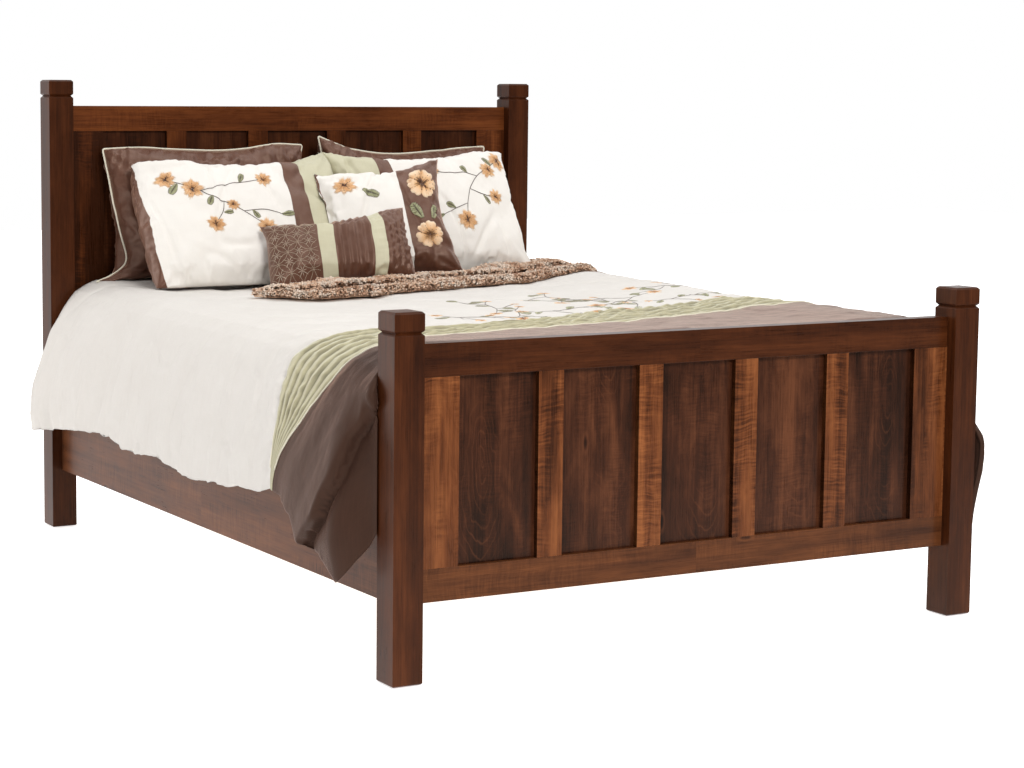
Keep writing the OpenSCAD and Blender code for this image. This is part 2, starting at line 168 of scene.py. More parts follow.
def join_objects(name, parts):
    """One mesh from several, each keeping its materials."""
    mats, co, faces, fm, off = [], [], [], [], 0
    attrs = {}
    for o in parts:
        for m in o.data.materials:
            if m not in mats:
                mats.append(m)
    for o in parts:
        me = o.data
        n = len(me.vertices)
        c = np.zeros(n * 3)
        me.vertices.foreach_get("co", c)
        co.append(c.reshape(-1, 3))
        for p in me.polygons:
            faces.append([v + off for v in p.vertices])
            fm.append(mats.index(me.materials[p.material_index]))
        a = me.attributes.get("shade")
        s = np.zeros(n)
        if a:
            a.data.foreach_get("value", s)
        attrs.setdefault("shade", []).append(s)
        off += n
        bpy.data.objects.remove(o)
    return mesh_object(name, np.concatenate(co), faces, mats, fm, attr={"shade": np.concatenate(attrs["shade"])})


# ---------------------------------------------------------------- material helper
class Mat:
    def __init__(s, name):
        s.m = bpy.data.materials.new(name)
        s.m.use_nodes = True
        s.t = s.m.node_tree
        s.t.nodes.clear()
        s.out = s.n("ShaderNodeOutputMaterial")
        s.b = s.n("ShaderNodeBsdfPrincipled")
        s.l(s.b.outputs[0], s.out.inputs["Surface"])
        s.tc = s.n("ShaderNodeTexCoord")
        s.obj, s.uv = s.tc.outputs["Object"], s.tc.outputs["UV"]

    def n(s, kind, **props):
        node = s.t.nodes.new(kind)
        for k, v in props.items():
            setattr(node, k, v)
        return node

    def l(s, a, b):
        s.t.links.new(a, b)

    def put(s, socket, value):
        if isinstance(value, bpy.types.NodeSocket):
            s.l(value, socket)
        elif hasattr(socket.default_value, "__len__") and not hasattr(value, "__len__"):
            socket.default_value = [value] * len(socket.default_value)
        elif hasattr(socket.default_value, "__len__") and len(socket.default_value) == 4 and len(value) == 3:
            socket.default_value = (*value, 1)
        else:
            socket.default_value = value

    def set(s, **kw):
        for k, v in kw.items():
            s.put(s.b.inputs[k.replace("_", " ")], v)
        return s

    def math(s, op, a, b=0.0, c=0.0, clamp=False):
        node = s.n("ShaderNodeMath", operation=op, use_clamp=clamp)
        s.put(node.inputs[0], a)
        s.put(node.inputs[1], b)
        s.put(node.inputs[2], c)
        return node.outputs[0]

    def vmath(s, op, a, b=(0, 0, 0)):
        node = s.n("ShaderNodeVectorMath", operation=op)
        s.put(node.inputs[0], a)
        s.put(node.inputs[1], b)
        return node.outputs[0]

    def xyz(s, v):
        node = s.n("ShaderNodeSeparateXYZ")
        s.l(v, node.inputs[0])
        return node.outputs

    def vec(s, x, y, z=0.0):
        node = s.n("ShaderNodeCombineXYZ")
        for k, v in zip(range(3), (x, y, z)):
            s.put(node.inputs[k], v)
        return node.outputs[0]

    def noise(s, v, scale=1.0, detail=3.0, rough=0.5, dist=0.0, dims="3D"):
        node = s.n("ShaderNodeTexNoise", noise_dimensions=dims)
        s.l(v, node.inputs["Vector"])
        for k, x in (("Scale", scale), ("Detail", detail), ("Roughness", rough), ("Distortion", dist)):
            node.inputs[k].default_value = x
        return node.outputs["Fac"]

    def vor(s, v, scale=1.0, feature="F1", out="Distance", rand=1.0):
        node = s.n("ShaderNodeTexVoronoi", feature=feature)
        s.l(v, node.inputs["Vector"])
        node.inputs["Scale"].default_value = scale
        node.inputs["Randomness"].default_value = rand
        return node.outputs[out]

    def white(s, v):
        node = s.n("ShaderNodeTexWhiteNoise", noise_dimensions="3D")
        s.l(v, node.inputs["Vector"])
        return node.outputs["Value"]

    def ramp(s, fac, stops, interp="LINEAR"):
        node = s.n("ShaderNodeValToRGB")
        node.color_ramp.interpolation = interp
        s.put(node.inputs[0], fac)
        e = node.color_ramp.elements
        while len(e) < len(stops):
            e.new(0.5)
        for k, (p, c) in enumerate(stops):
            e[k].position = p
            e[k].color = (*c, 1) if hasattr(c, "__len__") else (c, c, c, 1)
        return node.outputs[0]

    def mix(s, fac, a, b, mode="MIX"):
        node = s.n("ShaderNodeMix", data_type="RGBA", blend_type=mode)
        node.clamp_result = False
        s.put(node.inputs[0], fac)
        s.put(node.inputs[6], a)
        s.put(node.inputs[7], b)
        return node.outputs[2]

    def remap(s, v, a, b, c=0.0, d=1.0):
        node = s.n("ShaderNodeMapRange")
        node.clamp = True
        s.put(node.inputs[0], v)
        for k, x in zip((1, 2, 3, 4), (a, b, c, d)):
            node.inputs[k].default_value = x
        return node.outputs[0]

    def attr(s, name):
        node = s.n("ShaderNodeAttribute", attribute_name=name)
        return node.outputs["Fac"]

    def bump(s, height, strength=0.5, distance=0.001, normal=None):
        node = s.n("ShaderNodeBump")
        node.inputs["Strength"].default_value = strength
        node.inputs["Distance"].default_value = distance
        s.put(node.inputs["Height"], height)
        if normal is not None:
            s.l(normal, node.inputs["Normal"])
        return node.outputs[0]


def lin(r, g, b):
    """Linear colour from display values of 0 to 255."""
    f = lambda c: (c / 255 / 12.92) if c / 255 <= 0.04045 else ((c / 255 + 0.055) / 1.055) ** 2.4
    return (f(r), f(g), f(b))


# ---------------------------------------------------------------- materials: wood
def wood(name, grain, dark, mid, light, pitch=None, figure=0.0, arches=0.0, seed=0.0, rough=0.30, coat=0.045, vary=0.0,
         mottle=0.30, origin=0.0, broad_w=0.40, sides=0.0, tones=None):
    """Stained and lacquered maple. grain is the axis that the fibres follow; pitch sets apart the boards of one node along X."""
    s = Mat(name)
    x, y, z = s.xyz(s.obj)
    along = {"X": x, "Y": y, "Z": z}[grain]
    a1, a2 = {"X": (z, y), "Y": (z, x), "Z": (x, y)}[grain]
    board = 0.0
    if pitch:
        board = s.math("FLOOR", s.math("DIVIDE", s.math("ADD", x, origin), pitch))
    side = s.math("GREATER_THAN", y, 0.0)
    ident = s.white(s.vec(board, side, seed)) if pitch else s.white(s.vec(side, s.math("GREATER_THAN", x, 0.0), seed))
    lng = s.math("ADD", along, s.math("MULTIPLY", ident, 37.0))

    def across(k, kl, detail, rough_, dist=0.0):
        return s.noise(s.vec(s.math("MULTIPLY", a1, k), s.math("MULTIPLY", a2, k), s.math("MULTIPLY", lng, kl)), 1.0, detail, rough_, dist)
    # broad heart and sapwood bands along the board
    broad = across(15.0, 1.1, 3.0, 0.55, 0.5)
    # blotchy uptake of stain
    blot = across(24.0, 8.0, 4.0, 0.62, 0.4)
    # fine fibres and pores
    fine = across(480.0, 13.0, 2.0, 0.6)
    line = across(150.0, 3.0, 3.0, 0.65, 0.3)
    tone = s.math("MULTIPLY_ADD", s.math("SUBTRACT", broad, 0.5), broad_w * 1.7, 0.5)
    tone = s.math("ADD", tone, s.math("MULTIPLY", s.math("SUBTRACT", blot, 0.5), mottle * 1.5))
    tone = s.math("ADD", tone, s.math("MULTIPLY", s.math("SUBTRACT", line, 0.5), 0.34))
    if figure:
        # curly figure: short, nearly level ripples across the grain, in patches
        bend = across(12.0, 5.0, 2.0, 0.5)
        curl = s.noise(s.vec(s.math("MULTIPLY", a1, 14.0), s.math("MULTIPLY", a2, 14.0),
                             s.math("ADD", s.math("MULTIPLY", lng, 165.0), s.math("MULTIPLY", bend, 5.0))), 1.0, 2.0, 0.65)
        where = s.remap(across(16.0, 3.4, 2.0, 0.5), 0.42, 0.60)
        tone = s.math("ADD", tone, s.math("MULTIPLY", s.math("MULTIPLY", s.math("SUBTRACT", curl, 0.5), figure), where))
    if tones:
        # each board of the set has its own depth of colour
        n = len(tones)
        place = s.math("DIVIDE", s.math("ADD", board, 0.5), float(n))
        own = s.ramp(place, [(k / n, (0.5 + t, 0.5 + t, 0.5 + t)) for k, t in enumerate(tones)], "CONSTANT")
        tone = s.math("ADD", tone, s.math("SUBTRACT", own, 0.5))
    if vary:
        tone = s.math("ADD", tone, s.math("MULTIPLY", s.math("SUBTRACT", ident, 0.5), vary))
    col = s.ramp(tone, [(0.14, tuple(c * 0.8 for c in dark)), (0.32, dark), (0.52, mid), (0.82, light)])
    if arches:
        # growth rings cut at a shallow angle: thin nested arches along the heart of the board
        half = 0.5 * (pitch or 0.2)
        cx = s.math("SUBTRACT", s.math("SUBTRACT", s.math("ADD", x, origin), s.math("MULTIPLY", board, pitch)), half) if pitch else a1
        wob = across(11.0, 4.0, 3.0, 0.6)
        cxx = s.math("ADD", s.math("ADD", cx, s.math("MULTIPLY", s.math("SUBTRACT", ident, 0.5), 0.10)),
                     s.math("MULTIPLY", s.math("SUBTRACT", wob, 0.5), 0.07))
        depth = s.math("MULTIPLY", s.math("PINGPONG", lng, 0.43), 0.26)
        r = s.math("SQRT", s.math("ADD", s.math("MULTIPLY", cxx, cxx), s.math("MULTIPLY", depth, depth)))
        r = s.math("ADD", r, s.math("MULTIPLY", s.math("SUBTRACT", blot, 0.5), 0.010))
        ring = s.math("POWER", s.math("MULTIPLY_ADD", s.math("SINE", s.math("MULTIPLY", r, 700.0)), 0.5, 0.5), 16.0)
        mask = s.math("MULTIPLY", s.remap(s.math("ABSOLUTE", cxx), 0.075, 0.02), s.remap(across(7.0, 5.0, 2.0, 0.5), 0.46, 0.60))
        col = s.mix(s.math("MULTIPLY", s.math("MULTIPLY", ring, mask), arches), col, tuple(min(1, c * 1.15) for c in light))
    # a few small pin knots with a pale rim
    fl = s.vor(s.vec(s.math("MULTIPLY", a1, 9.0), s.math("MULTIPLY", a2, 9.0), s.math("MULTIPLY", lng, 3.1)), 1.0)
    knot = s.remap(fl, 0.020, 0.050, 0.35, 1.0)
    rim = s.math("MULTIPLY", s.remap(fl, 0.045, 0.065), s.remap(fl, 0.105, 0.070))
    col = s.mix(s.math("MULTIPLY", rim, 0.35), col, light)
    pore = s.remap(fine, 0.30, 0.55, 0.74, 1.0)
    both = s.math("MULTIPLY", pore, knot)
    if sides:
        # painted shade on the narrow edges inside the panel openings: faces that look along X are darkened as the
        # recess's shadow
        nx = s.math("ABSOLUTE", s.xyz(s.tc.outputs["Normal"])[0])
        both = s.math("MULTIPLY", both, s.remap(nx, 0.55, 0.95, 1.0, 1.0 - sides))
    col = s.mix(1.0, col, s.vec(both, both, both), "MULTIPLY")
    s.set(Base_Color=col, IOR=1.48)
    rg = s.remap(s.math("ADD", s.math("MULTIPLY", fine, 0.5), s.math("MULTIPLY", blot, 0.5)), 0.3, 0.7, rough - 0.05, rough + 0.10)
    s.set(Roughness=rg)
    s.b.inputs["Coat Weight"].default_value = coat
    s.b.inputs["Specular IOR Level"].default_value = 0.15
    s.b.inputs["Specular Tint"].default_value = (1.0, 0.80, 0.68, 1)
    s.b.inputs["Coat Roughness"].default_value = 0.16
    s.b.inputs["Coat IOR"].default_value = 1.5
    h = s.math("ADD", s.math("MULTIPLY", fine, 0.6), s.math("MULTIPLY", line, 0.4))
    s.set(Normal=s.bump(h, 0.14, 0.0006))
    return s.m


def raw_wood(name, grain, seed=0.0):
    s = Mat(name)
    x, y, z = s.xyz(s.obj)
    along = {"X": x, "Y": y, "Z": z}[grain]
    a1, a2 = {"X": (z, y), "Y": (z, x), "Z": (x, y)}[grain]
    sh = s.math("MULTIPLY", s.white(s.vec(s.math("FLOOR", s.math("DIVIDE", a2, 0.2)), s.math("GREATER_THAN", x, 0.0), seed)), 21.0)
    lng = s.math("ADD", along, sh)
    ring = s.noise(s.vec(s.math("MULTIPLY", a1, 60.0), s.math("MULTIPLY", a2, 60.0), s.math("MULTIPLY", lng, 1.4)), 1.0, 4.0, 0.6, 0.8)
    fine = s.noise(s.vec(s.math("MULTIPLY", a1, 500.0), s.math("MULTIPLY", a2, 500.0), s.math("MULTIPLY", lng, 9.0)), 1.0, 2.0)
    knots = s.remap(s.vor(s.vec(s.math("MULTIPLY", a1, 9.0), s.math("MULTIPLY", a2, 9.0), s.math("MULTIPLY", lng, 2.6)), 1.0), 0.05, 0.11, 0.45, 1.0)
    col = s.ramp(s.math("ADD", s.math("MULTIPLY", ring, 0.8), s.math("MULTIPLY", fine, 0.2)),
                 [(0.32, lin(150, 108, 66)), (0.5, lin(196, 158, 108)), (0.68, lin(222, 190, 142))])
    col = s.mix(1.0, col, s.vec(knots, knots, knots), "MULTIPLY")
    s.set(Base_Color=col, Roughness=s.remap(fine, 0.3, 0.7, 0.5, 0.68), Normal=s.bump(fine, 0.3, 0.0006))
    return s.m


def metal(name, base, rough=0.38, spec=0.9):
    s = Mat(name)
    n1 = s.noise(s.obj, 60.0, 4.0, 0.6)
    n2 = s.noise(s.obj, 900.0, 2.0, 0.6)
    k = s.remap(n1, 0.3, 0.7, 0.72, 1.1)
    s.set(Base_Color=s.mix(1.0, base, s.vec(k, k, k), "MULTIPLY"), Metallic=spec,
          Roughness=s.remap(n2, 0.3, 0.7, rough - 0.08, rough + 0.12), Normal=s.bump(n2, 0.15, 0.0003))
    return s.m


def plastic(name, base, rough=0.45):
    s = Mat(name)
    n = s.noise(s.obj, 700.0, 3.0, 0.6)
    k = s.remap(s.noise(s.obj, 30.0, 3.0), 0.3, 0.7, 0.9, 1.05)
    s.set(Base_Color=s.mix(1.0, base, s.vec(k, k, k), "MULTIPLY"), Roughness=s.remap(n, 0.3, 0.7, rough - 0.08, rough + 0.1),
          Normal=s.bump(n, 0.12, 0.0004))
    return s.m


# ---------------------------------------------------------------- materials: cloth
def cloth(name, base, alt=None, weave=0.0011, rough=0.75, sheen=0.25, sheen_tint=(1, 1, 1), gloss=0.0, slub=0.5, mode="UV",
          bump=0.35, crease=0.10, tint=(1, 1, 1), tucks=None, painted_sheen_fade=None, drape=0.0):
    """Woven cloth. UVs are in metres on the flat cut, so the weave keeps its real size."""
    s = Mat(name)
    v = s.uv if mode == "UV" else s.obj
    x, y, z = s.xyz(v)
    k = 2 * math.pi / weave
    wx, wy = s.math("SINE", s.math("MULTIPLY", x, k)), s.math("SINE", s.math("MULTIPLY", y, k))
    thread = s.math("MULTIPLY", wx, wy)
    # thick and thin yarns
    sx = s.noise(s.vec(s.math("MULTIPLY", x, 900.0), s.math("MULTIPLY", y, 22.0), z), 1.0, 2.0, 0.5)
    sy = s.noise(s.vec(s.math("MULTIPLY", x, 22.0), s.math("MULTIPLY", y, 900.0), z), 1.0, 2.0, 0.5)
    yarn = s.math("ADD", s.math("MULTIPLY", sx, 0.5), s.math("MULTIPLY", sy, 0.5))
    cloud = s.noise(s.obj, 7.0, 4.0, 0.55)
    alt = alt or tuple(c * 0.86 for c in base)
    f = s.math("ADD", s.math("MULTIPLY", s.math("SUBTRACT", yarn, 0.5), slub * 2.0), s.math("MULTIPLY", s.math("SUBTRACT", cloud, 0.5), 0.9))
    f = s.math("ADD", f, 0.5, clamp=True)
    col = s.mix(f, alt, base)
    if tucks:
        # rows of pintucks: painted shade, a dark line in the groove of each tuck and a softer painted shade beside it
        # on one side
        wob = s.noise(s.vec(s.math("MULTIPLY", x, 26.0), s.math("MULTIPLY", y, 30.0), 0.0), 1.0, 2.0)
        q = s.math("ADD", s.math("DIVIDE", s.math("SUBTRACT", y, tucks[0]), tucks[1]), s.math("MULTIPLY", s.math("SUBTRACT", wob, 0.5), 0.30))
        fr = s.math("FRACT", q)
        line = s.remap(s.math("SUBTRACT", 0.5, s.math("ABSOLUTE", s.math("SUBTRACT", fr, 0.5))), 0.045, 0.190, 1.0, 0.0)
        soft = s.remap(fr, 0.05, 0.55, 1.0, 0.0)
        on = s.math("MULTIPLY", s.math("GREATER_THAN", y, tucks[0] - 0.002), s.remap(wob, 0.25, 0.55, 0.75, 1.0))
        k = s.math("MULTIPLY", s.math("ADD", s.math("MULTIPLY", line, 0.62), s.math("MULTIPLY", soft, 0.20)), on)
        col = s.mix(k, col, tuple(c * 0.30 for c in base))
    if painted_sheen_fade:
        # painted shade: the colour darkens to a given shaded colour where the cloth turns down over the edge, so a
        # painted sheen fades out there
        col = s.mix(s.remap(s.math("ABSOLUTE", s.xyz(s.obj)[0]), painted_sheen_fade[0], painted_sheen_fade[1], 0.0, 1.0), col, painted_sheen_fade[2])
    s.set(Base_Color=col, Roughness=s.remap(yarn, 0.3, 0.7, rough - 0.08, rough + 0.08))
    s.b.inputs["Specular Tint"].default_value = (*tint, 1)
    s.b.inputs["Sheen Weight"].default_value = sheen
    s.b.inputs["Sheen Roughness"].default_value = 0.35
    s.b.inputs["Sheen Tint"].default_value = (*sheen_tint, 1)
    s.b.inputs["Specular IOR Level"].default_value = 0.25 + gloss
    if gloss:
        s.b.inputs["Anisotropic"].default_value = 0.4
    h = s.math("ADD", s.math("MULTIPLY", thread, 0.35), s.math("MULTIPLY", yarn, 1.0))
    first = s.bump(h, bump, weave * 0.35)
    soft = s.noise(s.obj, 38.0, 4.0, 0.6, 0.6)
    top = s.bump(soft, crease, 0.006, normal=first)
    if drape:
        # long soft wrinkles that run down from the edge of the bed
        lazy = s.noise(s.vec(s.math("MULTIPLY", x, 4.5), s.math("MULTIPLY", y, 17.0), 0.0), 1.0, 3.0, 0.55, 0.6)
        top = s.bump(lazy, drape, 0.022, normal=top)
    s.set(Normal=top)
    return s.m


def thread(name, stops, rough=0.42):
    """Embroidery floss: fine parallel threads with a shine; the colour runs with each stitch's own shade."""
    s = Mat(name)
    sh = s.attr("shade")
    n = s.noise(s.obj, 1100.0, 2.0, 0.6)
    big = s.noise(s.obj, 70.0, 2.0)
    f = s.math("ADD", sh, s.math("MULTIPLY", s.math("SUBTRACT", big, 0.5), 0.3), clamp=True)
    f = s.math("ADD", f, s.math("MULTIPLY", s.math("SUBTRACT", n, 0.5), 0.25), clamp=True)
    s.set(Base_Color=s.ramp(f, stops), Roughness=s.remap(n, 0.3, 0.7, rough - 0.08, rough + 0.15), Normal=s.bump(n, 0.5, 0.0008))
    s.b.inputs["Sheen Weight"].default_value = 0.15
    s.b.inputs["Anisotropic"].default_value = 0.5
    return s.m


def fur_material(name):
    s = Mat(name)
    sh = s.attr("shade")
    big = s.noise(s.obj, 9.0, 3.0, 0.6, 0.5)
    mid = s.noise(s.obj, 40.0, 3.0, 0.65, 0.4)
    fine = s.noise(s.obj, 420.0, 3.0, 0.6)
    t = s.math("ADD", s.math("MULTIPLY", big, 0.20), s.math("MULTIPLY", mid, 0.30))
    t = s.math("ADD", t, s.math("MULTIPLY", sh, 0.62))
    t = s.math("ADD", t, s.math("MULTIPLY", s.math("SUBTRACT", fine, 0.5), 0.20))
    col = s.ramp(t, [(0.12, lin(104, 68, 50)), (0.32, lin(199, 150, 118)), (0.53, lin(240, 202, 172)), (0.80, lin(254, 236, 219))])
    s.set(Base_Color=col, Roughness=0.82, Normal=s.bump(fine, 0.7, 0.003))
    s.b.inputs["Sheen Weight"].default_value = 0.3
    s.b.inputs["Sheen Roughness"].default_value = 0.5
    s.b.inputs["Sheen Tint"].default_value = (1.0, 0.80, 0.62, 1)
    return s.m


# ---------------------------------------------------------------- the wooden bed and its hardware
def dress_cad():
    N = frame["nodes"]
    post = wood("post_wood", "Z", lin(44, 20, 9), lin(66, 32, 14), lin(92, 48, 23), seed=1.0, rough=0.30, mottle=0.28)
    rail_top = wood("rail_wood_top", "X", lin(44, 19, 8), lin(66, 32, 14), lin(92, 48, 23), seed=2.0, rough=0.28, figure=0.25)
    rail_low = wood("rail_wood_low", "X", lin(64, 34, 18), lin(92, 52, 28), lin(122, 72, 40), seed=2.5, rough=0.30, figure=0.45)
    rail_head = wood("rail_wood_head", "X", lin(66, 30, 12), lin(100, 52, 24), lin(130, 72, 34), seed=2.7, rough=0.28, figure=0.30)
    rail_y = wood("rail_wood_side", "Y", lin(72, 40, 24), lin(102, 61, 38), lin(130, 82, 52), seed=3.0, rough=0.30, figure=0.50)
    stile = wood("stile_wood", "Z", lin(60, 30, 14), lin(104, 57, 30), lin(150, 90, 50), pitch=0.2762, origin=0.7615 + 0.138, figure=0.70,
                 seed=4.0, rough=0.27, mottle=0.34, broad_w=0.55, sides=0.75, tones=[0.04, -0.02, 0.13, 0.02, 0.07, -0.03])
    panel = wood("panel_wood", "Z", lin(36, 18, 10), lin(61, 32, 19), lin(100, 58, 36), pitch=0.2762, origin=0.6905, arches=0.30, seed=5.0,
                 rough=0.28, mottle=0.40, figure=0.35, broad_w=0.55, tones=[-0.02, 0.05, -0.04, 0.12, -0.01])
    # painted shade: the headboard's stiles are a darker copy of the stile wood, for the shade that falls on the
    # headboard behind the pillows; the first board's tone darkens the end stile beside the left head post further, also
    # as painted shade
    stile_head_shaded = wood("stile_wood_head_shaded", "Z", lin(52, 24, 10), lin(86, 43, 19), lin(124, 68, 33), pitch=0.2762, origin=0.7615 + 0.138, figure=0.60,
                      seed=4.6, rough=0.28, mottle=0.34, broad_w=0.50, sides=0.6, tones=[-0.24, 0.0, 0.04, 0.02, 0.06, 0.0])
    panel_head = wood("panel_wood_head", "Z", lin(38, 18, 9), lin(66, 33, 17), lin(100, 56, 31), pitch=0.2762, origin=0.6905, arches=0.20, seed=5.6,
                      rough=0.29, mottle=0.36, figure=0.25, broad_w=0.45, tones=[-0.03, 0.04, 0.0, 0.03, -0.02])
    pine_y, pine_x, pine_z = raw_wood("pine_y", "Y", 1.0), raw_wood("pine_x", "X", 2.0), raw_wood("pine_z", "Z", 3.0)
    zinc = metal("zinc_steel", lin(176, 176, 170))
    black = metal("black_steel", lin(40, 40, 42), 0.45, 0.3)
    nylon = plastic("nylon", lin(214, 211, 202))
    table = {
        "head_post_left": post, "head_post_right": post, "foot_post_left": post, "foot_post_right": post,
        "headboard_top_rail": rail_head, "headboard_bottom_rail": rail_low, "footboard_top_rail": rail_top, "footboard_bottom_rail": rail_low,
        "headboard_end_stiles": stile_head_shaded, "headboard_mid_stiles": stile_head_shaded, "footboard_end_stiles": stile, "footboard_mid_stiles": stile,
        "headboard_panels": panel_head, "footboard_panels": panel, "side_rail_left": rail_y, "side_rail_right": rail_y,
        "headboard_dowels": pine_x, "footboard_dowels": pine_x, "cleat_left": pine_y, "cleat_right": pine_y, "slats": pine_x,
        "centre_beam": pine_y, "centre_leg_front": pine_z, "centre_leg_rear": pine_z, "post_glides": nylon,
        "leveller_front": black, "leveller_rear": black,
    }
    eased = {"post": 0.0016, "rail": 0.0012, "stiles": 0.0008, "panels": 0.0006, "slats": 0.002, "beam": 0.002, "leg_front": 0.002,
             "leg_rear": 0.002, "cleat": 0.002}
    for name, o in N.items():
        if name in ("box_spring", "mattress", "comforter", "back_sham_left", "back_sham_right", "front_sham_left", "front_sham_right",
                    "square_pillow", "oblong_pillow", "fur_throw"):
            continue
        m = table.get(name, zinc)
        o.data.materials.clear()
        o.data.materials.append(m)
        width = 0.0
        for key, w in eased.items():
            if key in name and not any(x in name for x in ("screws", "dowels", "bolt", "plates", "glides", "inserts", "brackets")):
                width = w
        weld = o.modifiers.new("weld", "WELD")
        weld.merge_threshold = 0.00001
        if width:
            b = o.modifiers.new("eased_edges", "BEVEL")
            b.width, b.segments, b.limit_method, b.angle_limit = width, 2, "ANGLE", math.radians(28)
            b.use_clamp_overlap = True
            n = o.modifiers.new("flat_faces", "WEIGHTED_NORMAL")
            n.mode, n.weight, n.keep_sharp = "FACE_AREA", 90, False
    return table


# ---------------------------------------------------------------- stage
def stage():
    r = 16.0
    floor = mesh_object("floor", [(-r, -r, 0), (r, -r, 0), (r, r, 0), (-r, r, 0)], [[0, 1, 2, 3]], smooth=False)
    s = Mat("floor_paper")
    k = s.remap(s.noise(s.obj, 3.0, 3.0), 0.3, 0.7, 0.90, 0.93)
    k = s.math("MULTIPLY", k, s.remap(s.xyz(s.obj)[1], -4.2, -2.0, 0.40, 1.0))      # the paper ends in a grey floor
    s.set(Base_Color=s.vec(k, k, k), Roughness=0.9)
    s.b.inputs["Specular IOR Level"].default_value = 0.1
    # painted light: the floor glows under and behind the bed, so that the bed's shadow on it stays faint
    fx, fy, _ = s.xyz(s.obj)
    painted_glow_zone = s.math("MULTIPLY", s.remap(fx, -1.15, -0.80), s.remap(fy, -1.35, -1.05))
    k2 = s.math("MULTIPLY", k, s.math("MULTIPLY_ADD", painted_glow_zone, 0.60, 0.25))
    s.put(s.b.inputs["Emission Color"], s.vec(k2, k2, k2))
    s.b.inputs["Emission Strength"].default_value = 1.0
    floor.data.materials.append(s.m)

    w = bpy.data.worlds.new("studio")
    scene.world = w
    w.use_nodes = True
    t = w.node_tree
    bg = t.nodes["Background"]
    tc = t.nodes.new("ShaderNodeTexCoord")
    sep = t.nodes.new("ShaderNodeSeparateXYZ")
    t.links.new(tc.outputs["Generated"], sep.inputs[0])
    # white paper above, behind and beside the bed, and a dim room on the side that its foot faces
    up = t.nodes.new("ShaderNodeMath")
    up.operation = "MULTIPLY_ADD"
    t.links.new(sep.outputs[2], up.inputs[0])
    up.inputs[1].default_value = 0.8
    t.links.new(sep.outputs[1], up.inputs[2])
    mr = t.nodes.new("ShaderNodeMapRange")
    mr.interpolation_type = "SMOOTHSTEP"
    t.links.new(up.outputs[0], mr.inputs[0])
    for k, v in zip((1, 2, 3, 4), (-0.40, 0.40, WORLD[0], WORLD[1])):
        mr.inputs[k].default_value = v
    t.links.new(mr.outputs[0], bg.inputs[0])
    bg.inputs[1].default_value = 1.0

    def area(name, loc, aim, size, energy, color=(1, 1, 1)):
        d = bpy.data.lights.new(name, "AREA")
        d.shape, d.size, d.size_y, d.energy, d.color = "RECTANGLE", size[0], size[1], energy, color
        o = bpy.data.objects.new(name, d)
        scene.collection.objects.link(o)
        o.location = loc
        o.rotation_euler = (Vector(aim) - Vector(loc)).to_track_quat("-Z", "Y").to_euler()

    for row in LIGHTS:
        area(*row)
    scene.view_settings.view_transform = "Standard"
    scene.view_settings.look = "None"
    scene.view_settings.exposure = 0.0


WORLD = (0.16, 1.0)
LIGHTS = [
    ("key", (-1.0, -5.8, 4.0), (0.0, 0.3, 0.7), (2.0, 1.6), 255, (1.0, 0.985, 0.965)),
    ("top", (0.6, 0.2, 4.4), (0.1, 0.2, 0.4), (3.0, 3.0), 38),
    ("kicker", (-4.4, 3.6, 1.3), (-0.8, 0.0, 0.7), (1.8, 2.2), 46, (1.0, 0.93, 0.87)),
]


# ---------------------------------------------------------------- soft goods: grids
class Surf:
    """A grid of points over a flat cut, for laying stitching and cords on the finished surface."""

    def __init__(s, us, vs, P):
        s.us, s.vs, s.P = np.asarray(us, float), np.asarray(vs, float), np.asarray(P, float)  # P[v, u, 3]
        du = np.gradient(s.P, axis=1)
        dv = np.gradient(s.P, axis=0)
        nn = np.cross(du, dv)
        s.N = nn / np.maximum(np.linalg.norm(nn, axis=2, keepdims=True), 1e-12)

    def at(s, u, v, lift=0.0):
        u, v = np.broadcast_arrays(np.asarray(u, float), np.asarray(v, float))
        fi = np.interp(u, s.us, np.arange(len(s.us)))
        fj = np.interp(v, s.vs, np.arange(len(s.vs)))
        i, j = np.minimum(fi.astype(int), len(s.us) - 2), np.minimum(fj.astype(int), len(s.vs) - 2)
        a, b = (fi - i)[..., None], (fj - j)[..., None]

        def get(A):
            return (A[j, i] * (1 - a) + A[j, i + 1] * a) * (1 - b) + (A[j + 1, i] * (1 - a) + A[j + 1, i + 1] * a) * b
        n = get(s.N)
        n = n / np.maximum(np.linalg.norm(n, axis=-1, keepdims=True), 1e-12)
        return get(s.P) + n * np.asarray(lift)[..., None] if np.ndim(lift) else get(s.P) + n * lift


def stations(edges, step):
    """Grid lines from the first edge to the last, about step apart, with a line on every edge."""
    out = [edges[0]]
    for a, b in zip(edges[:-1], edges[1:]):
        n = max(1, int(round((b - a) / step)))
        out += [a + (b - a) * k / n for k in range(1, n + 1)]
    return np.array(out)


